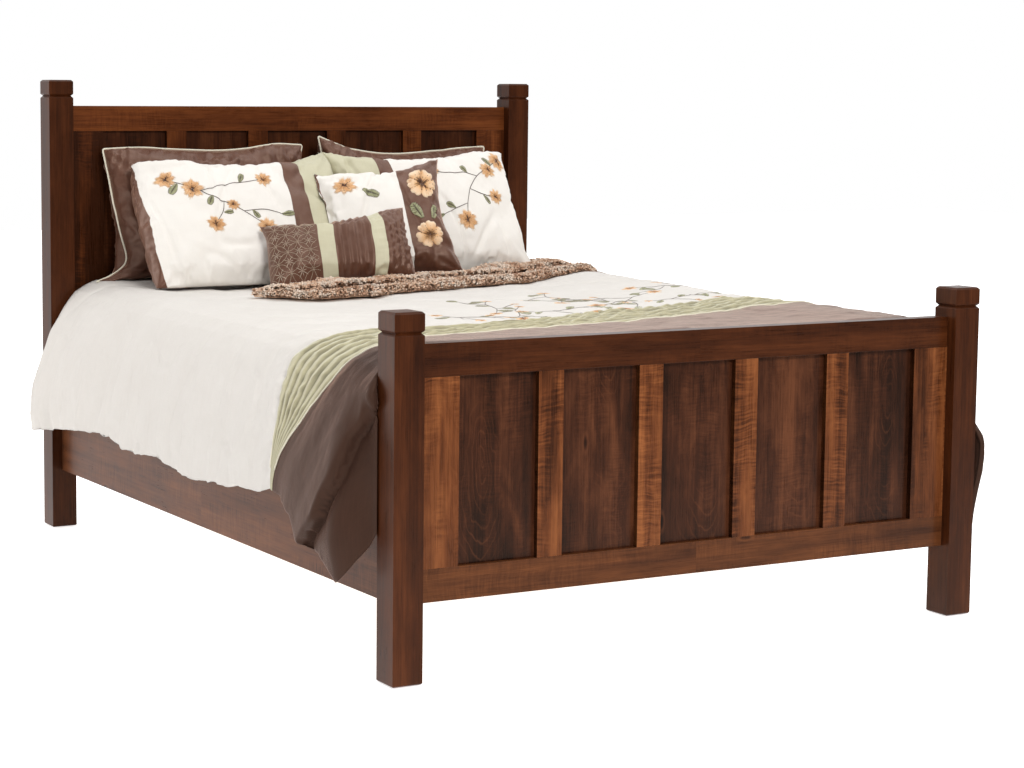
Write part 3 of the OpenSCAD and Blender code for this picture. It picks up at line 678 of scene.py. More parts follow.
# ---------------------------------------------------------------- embroidery on a surface
def stitch_patch(name, surf, cu, cv, outline, height, mat, shade0=0.0, shade1=1.0, rings=3, lift=0.0006):
    """A raised, padded patch of satin stitch. outline is a list of (du, dv, s) round (cu, cv); s is 0 near the flower's heart."""
    O = np.array(outline, float)
    n = len(O)
    c = O[:, :2].mean(0)
    cs = O[:, 2].mean()
    us, vs, hs, ss = [cu + c[0]], [cv + c[1]], [height], [cs]
    for r in range(1, rings + 1):
        f = r / rings
        for k in range(n):
            p = c + (O[k, :2] - c) * f
            us.append(cu + p[0])
            vs.append(cv + p[1])
            hs.append(height * (1 - f ** 2.2) if r < rings else 0.0)
            ss.append(cs + (O[k, 2] - cs) * f)
    P = surf.at(np.array(us), np.array(vs), np.array(hs) + lift)
    base = surf.at(np.array(us[-n:]), np.array(vs[-n:]), np.full(n, -0.0006))
    B = surf.at(np.array([us[0]]), np.array([vs[0]]), np.array([-0.0006]))
    co = np.concatenate([P, base, B])
    faces = []
    for k in range(n):
        k2 = (k + 1) % n
        faces.append([0, 1 + k, 1 + k2])
        for r in range(rings - 1):
            a = 1 + r * n
            faces.append([a + k, a + n + k, a + n + k2, a + k2])
        a, b = 1 + (rings - 1) * n, 1 + rings * n
        faces.append([a + k, b + k, b + k2, a + k2])
        faces.append([b + k, len(co) - 1, b + k2])
    sh = np.concatenate([np.array(ss), np.array(ss[-n:]), [ss[0]]])
    sh = shade0 + (shade1 - shade0) * sh
    return mesh_object(name, co, faces, [mat], attr={"shade": sh})


def petal_outline(angle, r0, r1, width, n=14, notch=0.12):
    pts = []
    for k in range(n):
        t = 2 * math.pi * k / n
        a = 0.5 - 0.5 * math.cos(t)                      # 0 at the heart, 1 at the tip
        w = math.sin(t) * width * 0.5 * (0.35 + 0.95 * a)
        rr = r0 + (r1 - r0) * a
        if abs(t - math.pi) < 0.25:
            rr -= notch * (r1 - r0) * (1 - abs(t - math.pi) / 0.25)
        pts.append((rr * math.cos(angle) - w * math.sin(angle), rr * math.sin(angle) + w * math.cos(angle), a))
    return pts


def leaf_outline(angle, length, width, n=12):
    pts = []
    for k in range(n):
        t = 2 * math.pi * k / n
        a = 0.5 - 0.5 * math.cos(t)
        w = math.sin(t) * width * 0.5 * math.sin(math.pi * min(1, a * 0.92 + 0.08)) ** 0.4
        pts.append((length * a * math.cos(angle) - w * math.sin(angle), length * a * math.sin(angle) + w * math.cos(angle), a))
    return pts


def stem(name, surf, pts, r, mat):
    P = np.array(pts, float)
    d = np.concatenate([[0], np.cumsum(np.linalg.norm(np.diff(P, axis=0), axis=1))])
    n = max(6, int(d[-1] / 0.006))
    # a smooth curve through the points
    tt = np.linspace(0, d[-1], n)
    u, v = np.interp(tt, d, P[:, 0]), np.interp(tt, d, P[:, 1])
    k = np.array([0.25, 0.5, 0.25])
    for _ in range(6):
        u[1:-1] = np.convolve(u, k, "valid")
        v[1:-1] = np.convolve(v, k, "valid")
    rr = r * (0.65 + 0.35 * np.sin(np.linspace(0.25, math.pi - 0.25, n)))
    Q = surf.at(u, v, np.full(n, r * 0.45))
    return tube(name, Q, rr, mat, sides=6, closed=False)


def stitches(name, surf, rows, mat):
    """Many single stitches as one mesh. Each row: u0, v0, u1, v1, width, height, shade at the start, shade at the end."""
    R = np.array(rows, float)
    n = len(R)
    F = np.array([0.0, 0.3, 0.7, 1.0])
    Wd = np.array([0.25, 1.0, 0.9, 0.2])
    Hd = np.array([0.15, 1.0, 1.0, 0.2])
    U = R[:, 0:1] + (R[:, 2:3] - R[:, 0:1]) * F
    V = R[:, 1:2] + (R[:, 3:4] - R[:, 1:2]) * F
    d = R[:, 2:4] - R[:, 0:2]
    d /= np.maximum(np.linalg.norm(d, axis=1, keepdims=True), 1e-9)
    px, py = -d[:, 1:2], d[:, 0:1]
    w = R[:, 4:5] * 0.5 * Wd
    h = R[:, 5:6] * Hd
    low = np.full_like(U, -0.0006)
    P = np.stack([surf.at(U + px * w, V + py * w, h * 0.25), surf.at(U, V, h), surf.at(U - px * w, V - py * w, h * 0.25), surf.at(U, V, low)], 2)
    co = P.reshape(-1, 3)
    faces = []
    for k in range(n):
        b = k * 16
        for i in range(3):
            for j in range(4):
                j2 = (j + 1) % 4
                faces.append([b + i * 4 + j, b + i * 4 + j2, b + i * 4 + 4 + j2, b + i * 4 + 4 + j])
        faces.append([b + 3, b + 2, b + 1, b])
        faces.append([b + 12, b + 13, b + 14, b + 15])
    sh = R[:, 6:7] + (R[:, 7:8] - R[:, 6:7]) * F
    return mesh_object(name, co, faces, [mat], attr={"shade": np.repeat(sh.reshape(-1), 4)})


def blossom(parts, tag, surf, u, v, size, turn, mats, seed=0, petals=6):
    """A blossom in long-and-short stitch, with dark stamens."""
    ap = mats[0]
    rng = np.random.default_rng(seed + 1000)
    rows = []
    two = petals >= 8
    for k in range(petals * (2 if two else 1)):
        inner = k >= petals
        a0 = turn + 2 * math.pi * (k + (0.5 if inner else 0.0)) / petals + rng.uniform(-0.10, 0.10)
        wide = math.pi / petals * rng.uniform(0.74, 0.92) * (1.35 if two else 1.0)
        ln = size * rng.uniform(0.86, 1.06) * (0.74 if inner else 1.0)
        m = 9 if two else 11
        for q in range(m):
            f = (q / (m - 1)) * 2 - 1
            a = a0 + wide * f
            r1 = ln * (1 - 0.30 * f * f) * (1 - 0.10 * (q % 2)) * rng.uniform(0.94, 1.03)
            r0 = size * (0.10 + 0.16 * (q % 2))
            rows.append((u + r0 * math.cos(a), v + r0 * math.sin(a), u + r1 * math.cos(a0 + wide * f * 0.82), v + r1 * math.sin(a0 + wide * f * 0.82),
                         size * (0.085 if two else 0.115), 0.0016 + 0.0006 * (1 - f * f) + (0.0009 if inner else 0.0),
                         (0.48 if inner else 0.40) + rng.uniform(-0.14, 0.1), (0.84 if inner else 0.95) + rng.uniform(-0.20, 0.04)))
            if q % 3 == 1:
                rows.append((u + size * 0.12 * math.cos(a), v + size * 0.12 * math.sin(a), u + size * 0.55 * math.cos(a), v + size * 0.55 * math.sin(a),
                             size * 0.05, 0.0026, 0.12, 0.40))
    for k in range(9):
        a = rng.uniform(0, 2 * math.pi)
        r = size * rng.uniform(0.28, 0.60)
        rows.append((u, v, u + r * math.cos(a), v + r * math.sin(a), size * 0.042, 0.0034, 0.0, 0.04))
        rows.append((u + r * math.cos(a) - 0.03 * size, v + r * math.sin(a), u + r * math.cos(a) + 0.05 * size, v + r * math.sin(a) + 0.02 * size, size * 0.075, 0.0036, 0.0, 0.0))
    for k in range(5):
        a = k * 1.257
        rows.append((u - 0.05 * size * math.cos(a), v - 0.05 * size * math.sin(a), u + 0.09 * size * math.cos(a), v + 0.09 * size * math.sin(a), size * 0.09, 0.0036, 0.02, 0.12))
    parts.append(stitches(tag, surf, rows, ap))


def leaf(parts, tag, surf, u, v, angle, length, mats, seed=0):
    """A leaf in slanted satin stitch with a dark midrib and rim."""
    rng = np.random.default_rng(seed + 5000)
    rows = []
    ca, sa = math.cos(angle), math.sin(angle)
    m = 9
    rim = {1: [], -1: []}
    for q in range(m):
        f = (q + 0.4) / m
        half = length * 0.25 * math.sin(math.pi * min(1, f * 0.93 + 0.05)) ** 0.75
        for sg in (1, -1):
            x0, y0 = length * f, 0.0
            x1, y1 = length * min(1.0, f + 0.16), sg * half
            rim[sg].append((x1, y1))
            rows.append((u + x0 * ca - y0 * sa, v + x0 * sa + y0 * ca, u + x1 * ca - y1 * sa, v + x1 * sa + y1 * ca, length * 0.15, 0.0013,
                         0.45 + rng.uniform(-0.1, 0.1), 0.85 + rng.uniform(-0.15, 0.1)))
    parts.append(stitches(tag, surf, rows, mats[2]))
    dark = [(u, v, u + length * 0.97 * ca, v + length * 0.97 * sa, length * 0.035 + 0.0005, 0.0019, 0.3, 0.3)]
    for sg in (1, -1):
        pts = [(0.0, 0.0)] + rim[sg] + [(length * 1.02, 0.0)]
        for (xa, ya), (xb, yb) in zip(pts[:-1], pts[1:]):
            dark.append((u + xa * ca - ya * sa, v + xa * sa + ya * ca, u + xb * ca - yb * sa, v + xb * sa + yb * ca, 0.0013, 0.0014, 0.3, 0.3))
    parts.append(stitches(tag + "_rim", surf, dark, mats[1]))


def applique(parts, tag, surf, u, v, size, turn, mats, seed=0):
    """A large blossom with broad padded petals and long dark stamens."""
    ap = mats[0]
    rng = np.random.default_rng(seed + 2000)
    for k in range(6):
        a = turn + 2 * math.pi * k / 6 + rng.uniform(-0.08, 0.08)
        ln = size * rng.uniform(0.90, 1.05)
        parts.append(stitch_patch(f"{tag}_p{k}", surf, u, v, petal_outline(a, size * 0.06, ln, ln * 0.80, n=18, notch=0.10), 0.0026 + 0.0007 * (k % 2), ap, 0.48, 0.95, rings=4))
    rows = []
    for k in range(26):
        a = turn + 2 * math.pi * k / 26 + rng.uniform(-0.08, 0.08)
        r = size * rng.uniform(0.25, 0.66)
        rows.append((u + 0.03 * size * math.cos(a), v + 0.03 * size * math.sin(a), u + r * math.cos(a), v + r * math.sin(a), size * 0.026, 0.0050, 0.05, 0.10))
        if k % 2:
            rows.append((u + (r - 0.03 * size) * math.cos(a), v + (r - 0.03 * size) * math.sin(a), u + (r + 0.05 * size) * math.cos(a), v + (r + 0.05 * size) * math.sin(a), size * 0.062, 0.0056, 0.0, 0.0))
    for k in range(34):
        a = turn + rng.uniform(0, 2 * math.pi)
        rows.append((u + size * 0.55 * math.cos(a), v + size * 0.55 * math.sin(a), u + size * 0.90 * math.cos(a), v + size * 0.90 * math.sin(a), size * 0.020, 0.0036, 0.55, 0.80))
    parts.append(stitches(tag + "_st", surf, rows, ap))


# ---------------------------------------------------------------- pillows
def inflate(name, co, faces, frames, pressure, shrink, tension, bending, cap):
    """Cloth under pressure, cut slightly too large, so that it wrinkles; no point moves further than cap."""
    me = bpy.data.meshes.new(name)
    me.from_pydata(co.tolist(), [], faces)
    o = bpy.data.objects.new(name, me)
    scene.collection.objects.link(o)
    m = o.modifiers.new("cloth", "CLOTH")
    s = m.settings
    s.quality, s.mass, s.air_damping = 4, 0.2, 1.0
    s.tension_stiffness = s.compression_stiffness = tension
    s.shear_stiffness, s.bending_stiffness = tension * 0.35, bending
    s.use_pressure, s.uniform_pressure_force = True, pressure
    s.shrink_min = shrink
    s.effector_weights.gravity = 0
    m.collision_settings.use_collision = False
    m.point_cache.frame_start, m.point_cache.frame_end = 1, frames
    for f in range(1, frames + 1):
        scene.frame_set(f)
    e = o.evaluated_get(bpy.context.evaluated_depsgraph_get())
    out = np.zeros(len(e.data.vertices) * 3)
    e.data.vertices.foreach_get("co", out)
    scene.frame_set(1)
    bpy.data.objects.remove(o)
    bpy.data.meshes.remove(me)
    out = out.reshape(-1, 3)
    d = out - co
    n = np.linalg.norm(d, axis=1, keepdims=True)
    return co + d * np.minimum(1, cap / np.maximum(n, 1e-9))


class Pillow:
    def __init__(s, name, w, h, t, edges=None, step=0.011, seed=1, pull=(0.045, 0.05), frames=14, pressure=2.0, shrink=-0.04,
                 tension=20, bending=0.3, cap=0.022, rough_amp=0.0016, outline=None):
        s.name, s.w, s.h = name, w, h
        s.us = stations([0, *(edges or []), w], step)
        s.vs = stations([0, h], step)
        nu, nv = len(s.us), len(s.vs)
        X, Y = np.meshgrid(s.us - w / 2, s.vs - h / 2)
        x, y = 2 * X / w, 2 * Y / h
        f = (np.clip(1 - np.abs(x) ** 2.4, 0, 1) * np.clip(1 - np.abs(y) ** 2.4, 0, 1)) ** 0.5
        PX, PY = X * (1 - pull[0] * (1 - y * y) * x * x), Y * (1 - pull[1] * (1 - x * x) * y * y)
        s.id = np.zeros((2, nv, nu), int)
        co, uv = [], []
        for L in (0, 1):
            sg = 1 if L == 0 else -1
            noise = rough_amp * (vnoise(X / 0.035, Y / 0.045, seed + 3 * L) + 0.6 * vnoise(X / 0.015, Y / 0.02, seed + 7 + L))
            Z = sg * t / 2 * f + noise * (f > 0)
            for j in range(nv):
                for i in range(nu):
                    if L == 1 and (i in (0, nu - 1) or j in (0, nv - 1)):
                        s.id[1, j, i] = s.id[0, j, i]
                        continue
                    s.id[L, j, i] = len(co)
                    co.append((PX[j, i], PY[j, i], Z[j, i]))
                    uv.append((s.us[i], s.vs[j]))
        s.co, s.uv = np.array(co), np.array(uv)
        s.layer = np.zeros(len(co), int)
        s.layer[s.id[1][1:-1, 1:-1].ravel()] = 1
        s.faces, s.cell = [], []
        for L in (0, 1):
            for j in range(nv - 1):
                for i in range(nu - 1):
                    q = [s.id[L, j, i], s.id[L, j, i + 1], s.id[L, j + 1, i + 1], s.id[L, j + 1, i]]
                    s.faces.append(q if L == 0 else q[::-1])
                    s.cell.append((L, i, j))
        s.co = inflate(name + "_sim", s.co, s.faces, frames, pressure, shrink, tension, bending, cap)
        if outline:
            s.pull(outline)

    def pull(s, outline):
        """Pulls the outline to the shape given by rows of (place along the edge, right, up) in mm for its four edges; the inside follows."""
        u = np.clip(s.uv[:, 0] / s.w, 0, 1)
        v = np.clip(s.uv[:, 1] / s.h, 0, 1)

        def edge(key, q):
            R = np.array(outline.get(key, [(0, 0, 0), (1, 0, 0)]), float)
            g = np.linspace(0, 1, 101)
            out = []
            for c in (1, 2):
                w = np.interp(g, R[:, 0], R[:, c]) / 1000
                for _ in range(30):
                    w[1:-1] = np.convolve(w, [0.25, 0.5, 0.25], "valid")
                out.append(np.interp(q, g, w))
            return np.stack(out, -1)
        T, B, L, R = edge("top", u), edge("bottom", u), edge("left", v), edge("right", v)
        c = {k: edge(*k) for k in (("top", 0.0), ("top", 1.0), ("bottom", 0.0), ("bottom", 1.0))}
        U, V = u[:, None], v[:, None]
        bk = outline.get("back", 1.0)                                                 # a full back may swell past the seam, low down
        L2 = L * np.where(s.layer[:, None] == 1, bk + (1 - bk) * sstep(0.50, 0.92, V), 1.0)
        D = (1 - V) * B + V * T + (1 - U) * L2 + U * R
        D = D - ((1 - U) * (1 - V) * c["bottom", 0.0] + U * (1 - V) * c["bottom", 1.0] + (1 - U) * V * c["top", 0.0] + U * V * c["top", 1.0])
        s.co[:, :2] += D

    def grid(s, L=0):
        return s.co[s.id[L]]

    def refine(s):
        """Twice as many grid lines, on smooth curves through the old points."""
        def double(P, ax):
            P = np.moveaxis(P, ax, 0)
            E = np.concatenate([2 * P[:1] - P[1:2], P, 2 * P[-1:] - P[-2:-1]])
            mid = (-E[:-3] + 9 * E[1:-2] + 9 * E[2:-1] - E[3:]) / 16
            out = np.empty((2 * len(P) - 1,) + P.shape[1:])
            out[0::2], out[1::2] = P, mid
            return np.moveaxis(out, 0, ax)
        G = [double(double(s.grid(L), 0), 1) for L in (0, 1)]
        s.us = np.sort(np.concatenate([s.us, (s.us[1:] + s.us[:-1]) / 2]))
        s.vs = np.sort(np.concatenate([s.vs, (s.vs[1:] + s.vs[:-1]) / 2]))
        nu, nv = len(s.us), len(s.vs)
        s.id = np.zeros((2, nv, nu), int)
        s.id[0] = np.arange(nu * nv).reshape(nv, nu)
        s.id[1] = s.id[0]
        s.id[1][1:-1, 1:-1] = nu * nv + np.arange((nv - 2) * (nu - 2)).reshape(nv - 2, nu - 2)
        s.co = np.concatenate([G[0].reshape(-1, 3), G[1][1:-1, 1:-1].reshape(-1, 3)])
        U, V = np.meshgrid(s.us, s.vs)
        uv = np.stack([U, V], -1)
        s.uv = np.concatenate([uv.reshape(-1, 2), uv[1:-1, 1:-1].reshape(-1, 2)])
        s.faces, s.cell = [], []
        for L in (0, 1):
            A = s.id[L]
            q = np.stack([A[:-1, :-1], A[:-1, 1:], A[1:, 1:], A[1:, :-1]], -1).reshape(-1, 4)
            s.faces += (q if L == 0 else q[:, ::-1]).tolist()
            s.cell += [(L, i, j) for j in range(nv - 1) for i in range(nu - 1)]

    def slide(s, fu):
        """Moves the lines of the front along the cloth, so that a panel seam can run at a slant: fu gives the place for (u, v)."""
        surf = Surf(s.us, s.vs, s.grid(0))
        U, V = np.meshgrid(s.us, s.vs)
        N = surf.at(np.clip(fu(U, V), 0, s.w), V)
        keep = s.grid(0)
        N[0], N[-1], N[:, 0], N[:, -1] = keep[0], keep[-1], keep[:, 0], keep[:, -1]
        s.co[s.id[0].ravel()] = N.reshape(-1, 3)

    def lift(s, L, amount):
        """Moves one face of the pillow along its normals; amount is a function of u and v in metres."""
        P = s.grid(L)
        n = np.cross(np.gradient(P, axis=1), np.gradient(P, axis=0))
        n /= np.maximum(np.linalg.norm(n, axis=2, keepdims=True), 1e-12)
        if L == 1:
            n = -n
        U, V = np.meshgrid(s.us, s.vs)
        d = amount(U, V)
        e = np.minimum(np.minimum(U, s.w - U), np.minimum(V, s.h - V))
        d = d * sstep(0.0, 0.016, e)
        P = P + n * d[..., None]
        s.co[s.id[L].ravel()] = P.reshape(-1, 3)

    def creases(s, seed, amp=1.0, top=0.0, ends=0.0, long=1.0, corner=1.0):
        """Wrinkles of a stuffed case: gathers at the seams, rays from the corners, and long soft creases."""
        def f(U, V, q=0):
            w, h = s.w, s.h
            d = np.zeros_like(U)
            k = seed + 50 * q
            wob = 0.010 * vnoise(U / 0.06, V / 0.06, k)
            for dist, run, a in ((h - V, U + 0.35 * (h - V), 0.0011 + top), (V, U - 0.25 * V, 0.0011), (U, V + 0.3 * U, 0.0010 + ends), (w - U, V - 0.3 * (w - U), 0.0010 + ends)):
                g = vnoise((run + wob) / 0.0135, dist / 0.05, k + 3) + 0.5 * vnoise((run + wob) / 0.007, dist / 0.03, k + 4)
                d = d + 1.9 * a * g * np.exp(-dist / (0.030 + 8 * a))
            for cu, cv in ((0, 0), (w, 0), (0, h), (w, h)):
                du, dv = np.abs(U - cu), np.abs(V - cv)
                r = np.hypot(du, dv)
                th = np.arctan2(dv, du)
                d = d + corner * 0.0062 * vnoise(th * 4.6 + cu * 31, r / 0.16 + cv * 17, k + 9) * np.exp(-r / 0.11) * sstep(0.008, 0.045, r)
            for j, (ku, kv, sl) in enumerate(((0.075, 0.20, 0.25), (0.12, 0.26, -0.35))):
                n = vnoise((U + sl * V) / ku, V / kv, k + 13 + j)
                d = d - long * 0.0046 * np.exp(-(n / 0.15) ** 2) * sstep(0.02, 0.07, np.minimum(np.minimum(U, w - U), np.minimum(V, h - V)))
            d = d + long * 0.0030 * fbm(U / 0.08, V / 0.12, k + 21, 3)
            return amp * d
        s.lift(0, lambda U, V: f(U, V, 0))
        s.lift(1, lambda U, V: f(U, V, 1))

    def place(s, c, lean, yaw, roll):
        le, ya, ro = map(math.radians, (lean, yaw, roll))
        w, h, n = np.array([1, 0, 0.]), np.array([0, math.sin(le), math.cos(le)]), np.array([0, -math.cos(le), math.sin(le)])
        B = np.stack([w, h, n], 1)
        Rz = np.array([[math.cos(ya), -math.sin(ya), 0], [math.sin(ya), math.cos(ya), 0], [0, 0, 1.]])
        Rn = np.array([[math.cos(ro), -math.sin(ro), 0], [math.sin(ro), math.cos(ro), 0], [0, 0, 1.]])
        s.co = s.co @ (Rz @ B @ Rn).T + np.array(c) / 1000.0

    def floor_at(s, z_of, soft=0.03):
        """Flattens what would sink into the bedding: the lowest part spreads and rests on it."""
        zmin = z_of(s.co[:, 0], s.co[:, 1])
        h = s.co[:, 2] - zmin
        low = h < soft
        nh = np.where(low, soft * np.exp((h - soft) / soft), h)
        s.co[:, 2] = zmin + np.maximum(nh, 0.0015)

    def clear_of(s, others, gap=0.0045, rounds=3):
        """Pushes in what would cut into the pillows and boards behind."""
        for _ in range(rounds):
            moved = np.zeros_like(s.co)
            for tree in others:
                for k, p in enumerate(s.co):
                    v = Vector(p)
                    loc, nor, idx, dist = tree.find_nearest(v, 0.12)
                    if loc is None:
                        continue
                    side = (v - loc).dot(nor)
                    if side < gap:
                        moved[k] += np.array(nor) * min(gap - side, 0.12)
            if not np.abs(moved).max() > 1e-5:
                return
            s.co = s.co + moved

    def tree(s):
        return BVHTree.FromPolygons([tuple(p) for p in s.co], s.faces)

    def border(s):
        a = s.id[0]
        return np.concatenate([a[0, :-1], a[:-1, -1], a[-1, :0:-1], a[:0:-1, 0]])

    def build(s, mats, pick):
        fm = []
        for L, i, j in s.cell:
            fm.append(pick(L, (s.us[i] + s.us[i + 1]) / 2, (s.vs[j] + s.vs[j + 1]) / 2))
        s.obj = mesh_object(s.name, s.co, s.faces, mats, fm, uv=s.uv)
        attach(s.obj, ROOT)
        s.surf = Surf(s.us, s.vs, s.grid(0))
        return s.obj

    def piping(s, mat, r=0.0032, name=None):
        P = s.co[s.border()]
        c = s.co.mean(0)
        for _ in range(3):
            P = (np.roll(P, 1, 0) + 2 * P + np.roll(P, -1, 0)) / 4
        d = P - c
        P = P + d / np.linalg.norm(d, axis=1, keepdims=True) * r * 0.7
        P[:, 2] = np.maximum(P[:, 2], s.zfloor(P[:, 0], P[:, 1]) + r)
        o = tube(name or s.name + "_piping", P, r, mat, sides=8)
        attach(o, ROOT)
        return o


# ---------------------------------------------------------------- bedding top and its heights
def top_height(x, y):
    """Height of the comforter's upper side over the mattress, in metres."""
    x, y = np.asarray(x, float), np.asarray(y, float)
    crown = 0.010 * (1 - np.clip(np.abs(x) / 0.76, 0, 1) ** 3)
    dent = -0.010 * sstep(0.25, 0.55, y) * (1 - sstep(0.55, 0.72, np.abs(x)))       # under the pillows
    soft = 0.0045 * fbm(x / 0.33, y / 0.42, 5, 3) + 0.0012 * fbm(x / 0.09, y / 0.12, 9, 3)
    head = 0.017 * sstep(0.80, 1.0, y) * (1 - np.clip((np.abs(x) - 0.45) / 0.27, 0, 1) ** 2)      # fuller at the head end
    far = np.interp(y, [-1.0, -0.8, -0.6, -0.4, -0.2, 0.0, 0.2, 0.4, 0.5, 0.6, 0.7], [0.013, 0.015, 0.017, 0.011, 0.012, 0.020, 0.026, 0.030, 0.024, 0.010, 0.0])
    return 0.7455 + crown + dent + soft + head + far * sstep(0.38, 0.68, x)      # puffed along the far edge


def curve(pts, x):
    P = np.array(sorted(pts), float)
    return np.interp(x, P[:, 0], P[:, 1])


def smooth_curve(pts, x, n=400, passes=60):
    """Like curve, but rounded at its points."""
    P = np.array(sorted(pts), float)
    g = np.linspace(P[0, 0], P[-1, 0], n)
    v = np.interp(g, P[:, 0], P[:, 1])
    k = np.array([0.25, 0.5, 0.25])
    for _ in range(passes):
        v[1:-1] = np.convolve(v, k, "valid")
    return np.interp(x, g, v)


TOP_HALF = 0.700       # the flat top runs this far each side, then the side profile begins
SIDE = np.array([(700, 746), (745, 743.5), (779, 732), (812, 704), (836, 667), (856, 624), (872, 580), (888, 520), (900, 460), (907, 410),
                 (909, 360), (905, 310), (899, 260), (893, 200), (890, 150)], float) / 1000
# at the head end it falls away sooner
SIDE_HEAD = np.array([(700, 746), (725, 741), (768, 720), (789, 695), (808, 672), (824, 648), (837, 625), (850, 601), (867, 548), (883, 488), (893, 448),
                      (899, 410), (902, 360), (898, 310), (893, 260), (886, 200), (884, 150)], float) / 1000
HEAD_S = np.concatenate([[0], np.cumsum(np.linalg.norm(np.diff(SIDE_HEAD, axis=0), axis=1))])
SIDE_S = np.concatenate([[0], np.cumsum(np.linalg.norm(np.diff(SIDE, axis=0), axis=1))])


def side_point(sarc, y=None):
    x, z = np.interp(sarc, SIDE_S, SIDE[:, 0]), np.interp(sarc, SIDE_S, SIDE[:, 1])
    if y is None:
        return x, z
    w = sstep(0.50, 1.0, y)
    xh, zh = np.interp(sarc, HEAD_S, SIDE_HEAD[:, 0]), np.interp(sarc, HEAD_S, SIDE_HEAD[:, 1])
    return x + (xh - x) * w, z + (zh - z) * w


def arc_of_z(z):
    return np.interp(-np.asarray(z, float), -SIDE[:, 1], SIDE_S)


# seams and hem of the left side as (height in mm, y in mm)
L_SEAM1 = [(746, -640), (733, -618), (713, -597), (688, -576), (646, -575), (600, -584), (550, -602), (500, -616), (448, -626), (397, -633), (372, -636)]
L_SEAM2 = [(746, -884), (739, -882), (724, -868), (705, -848), (673, -822), (634, -792), (590, -757), (551, -733), (512, -707), (466, -678), (431, -658), (397, -648), (372, -648)]
T_SEAM1 = [(-700, -640), (-619, -612), (-488, -637), (-387, -648), (-257, -616), (-128, -600), (-32, -548), (96, -480), (261, -462), (375, -412), (546, -352), (660, -335), (700, -345)]
T_SEAM2 = [(-700, -884), (-640, -840), (-578, -815), (-498, -812), (-357, -785), (-166, -780), (4, -772), (101, -742), (344, -640), (535, -598), (660, -594), (700, -604)]
R_SEAM1 = [(746, -345), (729, -358), (665, -400), (568, -470), (482, -540), (403, -605), (372, -632)]
R_SEAM2 = [(746, -604), (729, -622), (665, -668), (598, -690), (501, -690), (411, -666), (372, -650)]
HEM = [(1029, 330), (921, 342), (852, 348), (784, 351), (717, 356), (652, 359), (588, 361), (526, 369), (465, 375), (405, 370), (345, 357), (287, 353), (230, 351),
       (174, 350), (116, 359), (61, 361), (8, 357), (-43, 344), (-95, 340), (-146, 340), (-197, 341), (-248, 346), (-298, 350), (-346, 348), (-394, 351),
       (-443, 361), (-490, 360), (-535, 364), (-580, 371), (-624, 388), (-656, 378), (-692, 374), (-735, 357), (-774, 343), (-795, 325), (-815, 300), (-834, 288),
       (-848, 278), (-888, 262), (-932, 236), (-958, 215), (-970, 226), (-985, 246), (-1000, 267), (-1022, 297), (-1036, 313), (-1048, 341)]
R_HEM = [(1029, 316), (901, 326), (666, 339), (505, 341), (271, 327), (85, 323), (-105, 322), (-321, 331), (-450, 341), (-530, 350), (-634, 374),
         (-686, 366), (-744, 338), (-792, 306), (-892, 250), (-960, 222), (-1027, 216), (-1095, 228)]
CREASE = np.array([(-1095, 662), (-1046, 614), (-1025, 589), (-994, 545), (-986, 509), (-972, 454), (-947, 405), (-928, 359), (-890, 330), (-844, 296), (-826, 262)], float) / 1000


def crease_distance(y, z):
    """Signed distance in the y-z plane to the fold of the hanging corner, positive above it, on the head side."""
    p = np.stack([y, z], -1)
    best = np.full(np.shape(y), 9.0)
    sign = np.ones(np.shape(y))
    for a, b in zip(CREASE[:-1], CREASE[1:]):
        ab = b - a
        t = np.clip(((p - a) @ ab) / (ab @ ab), 0, 1)
        q = p - (a + t[..., None] * ab)
        d = np.linalg.norm(q, axis=-1)
        cr = ab[0] * (p[..., 1] - a[1]) - ab[1] * (p[..., 0] - a[0])
        take = d < best
        best = np.where(take, d, best)
        sign = np.where(take, np.where(cr > 0, 1.0, -1.0), sign)
    return best * sign


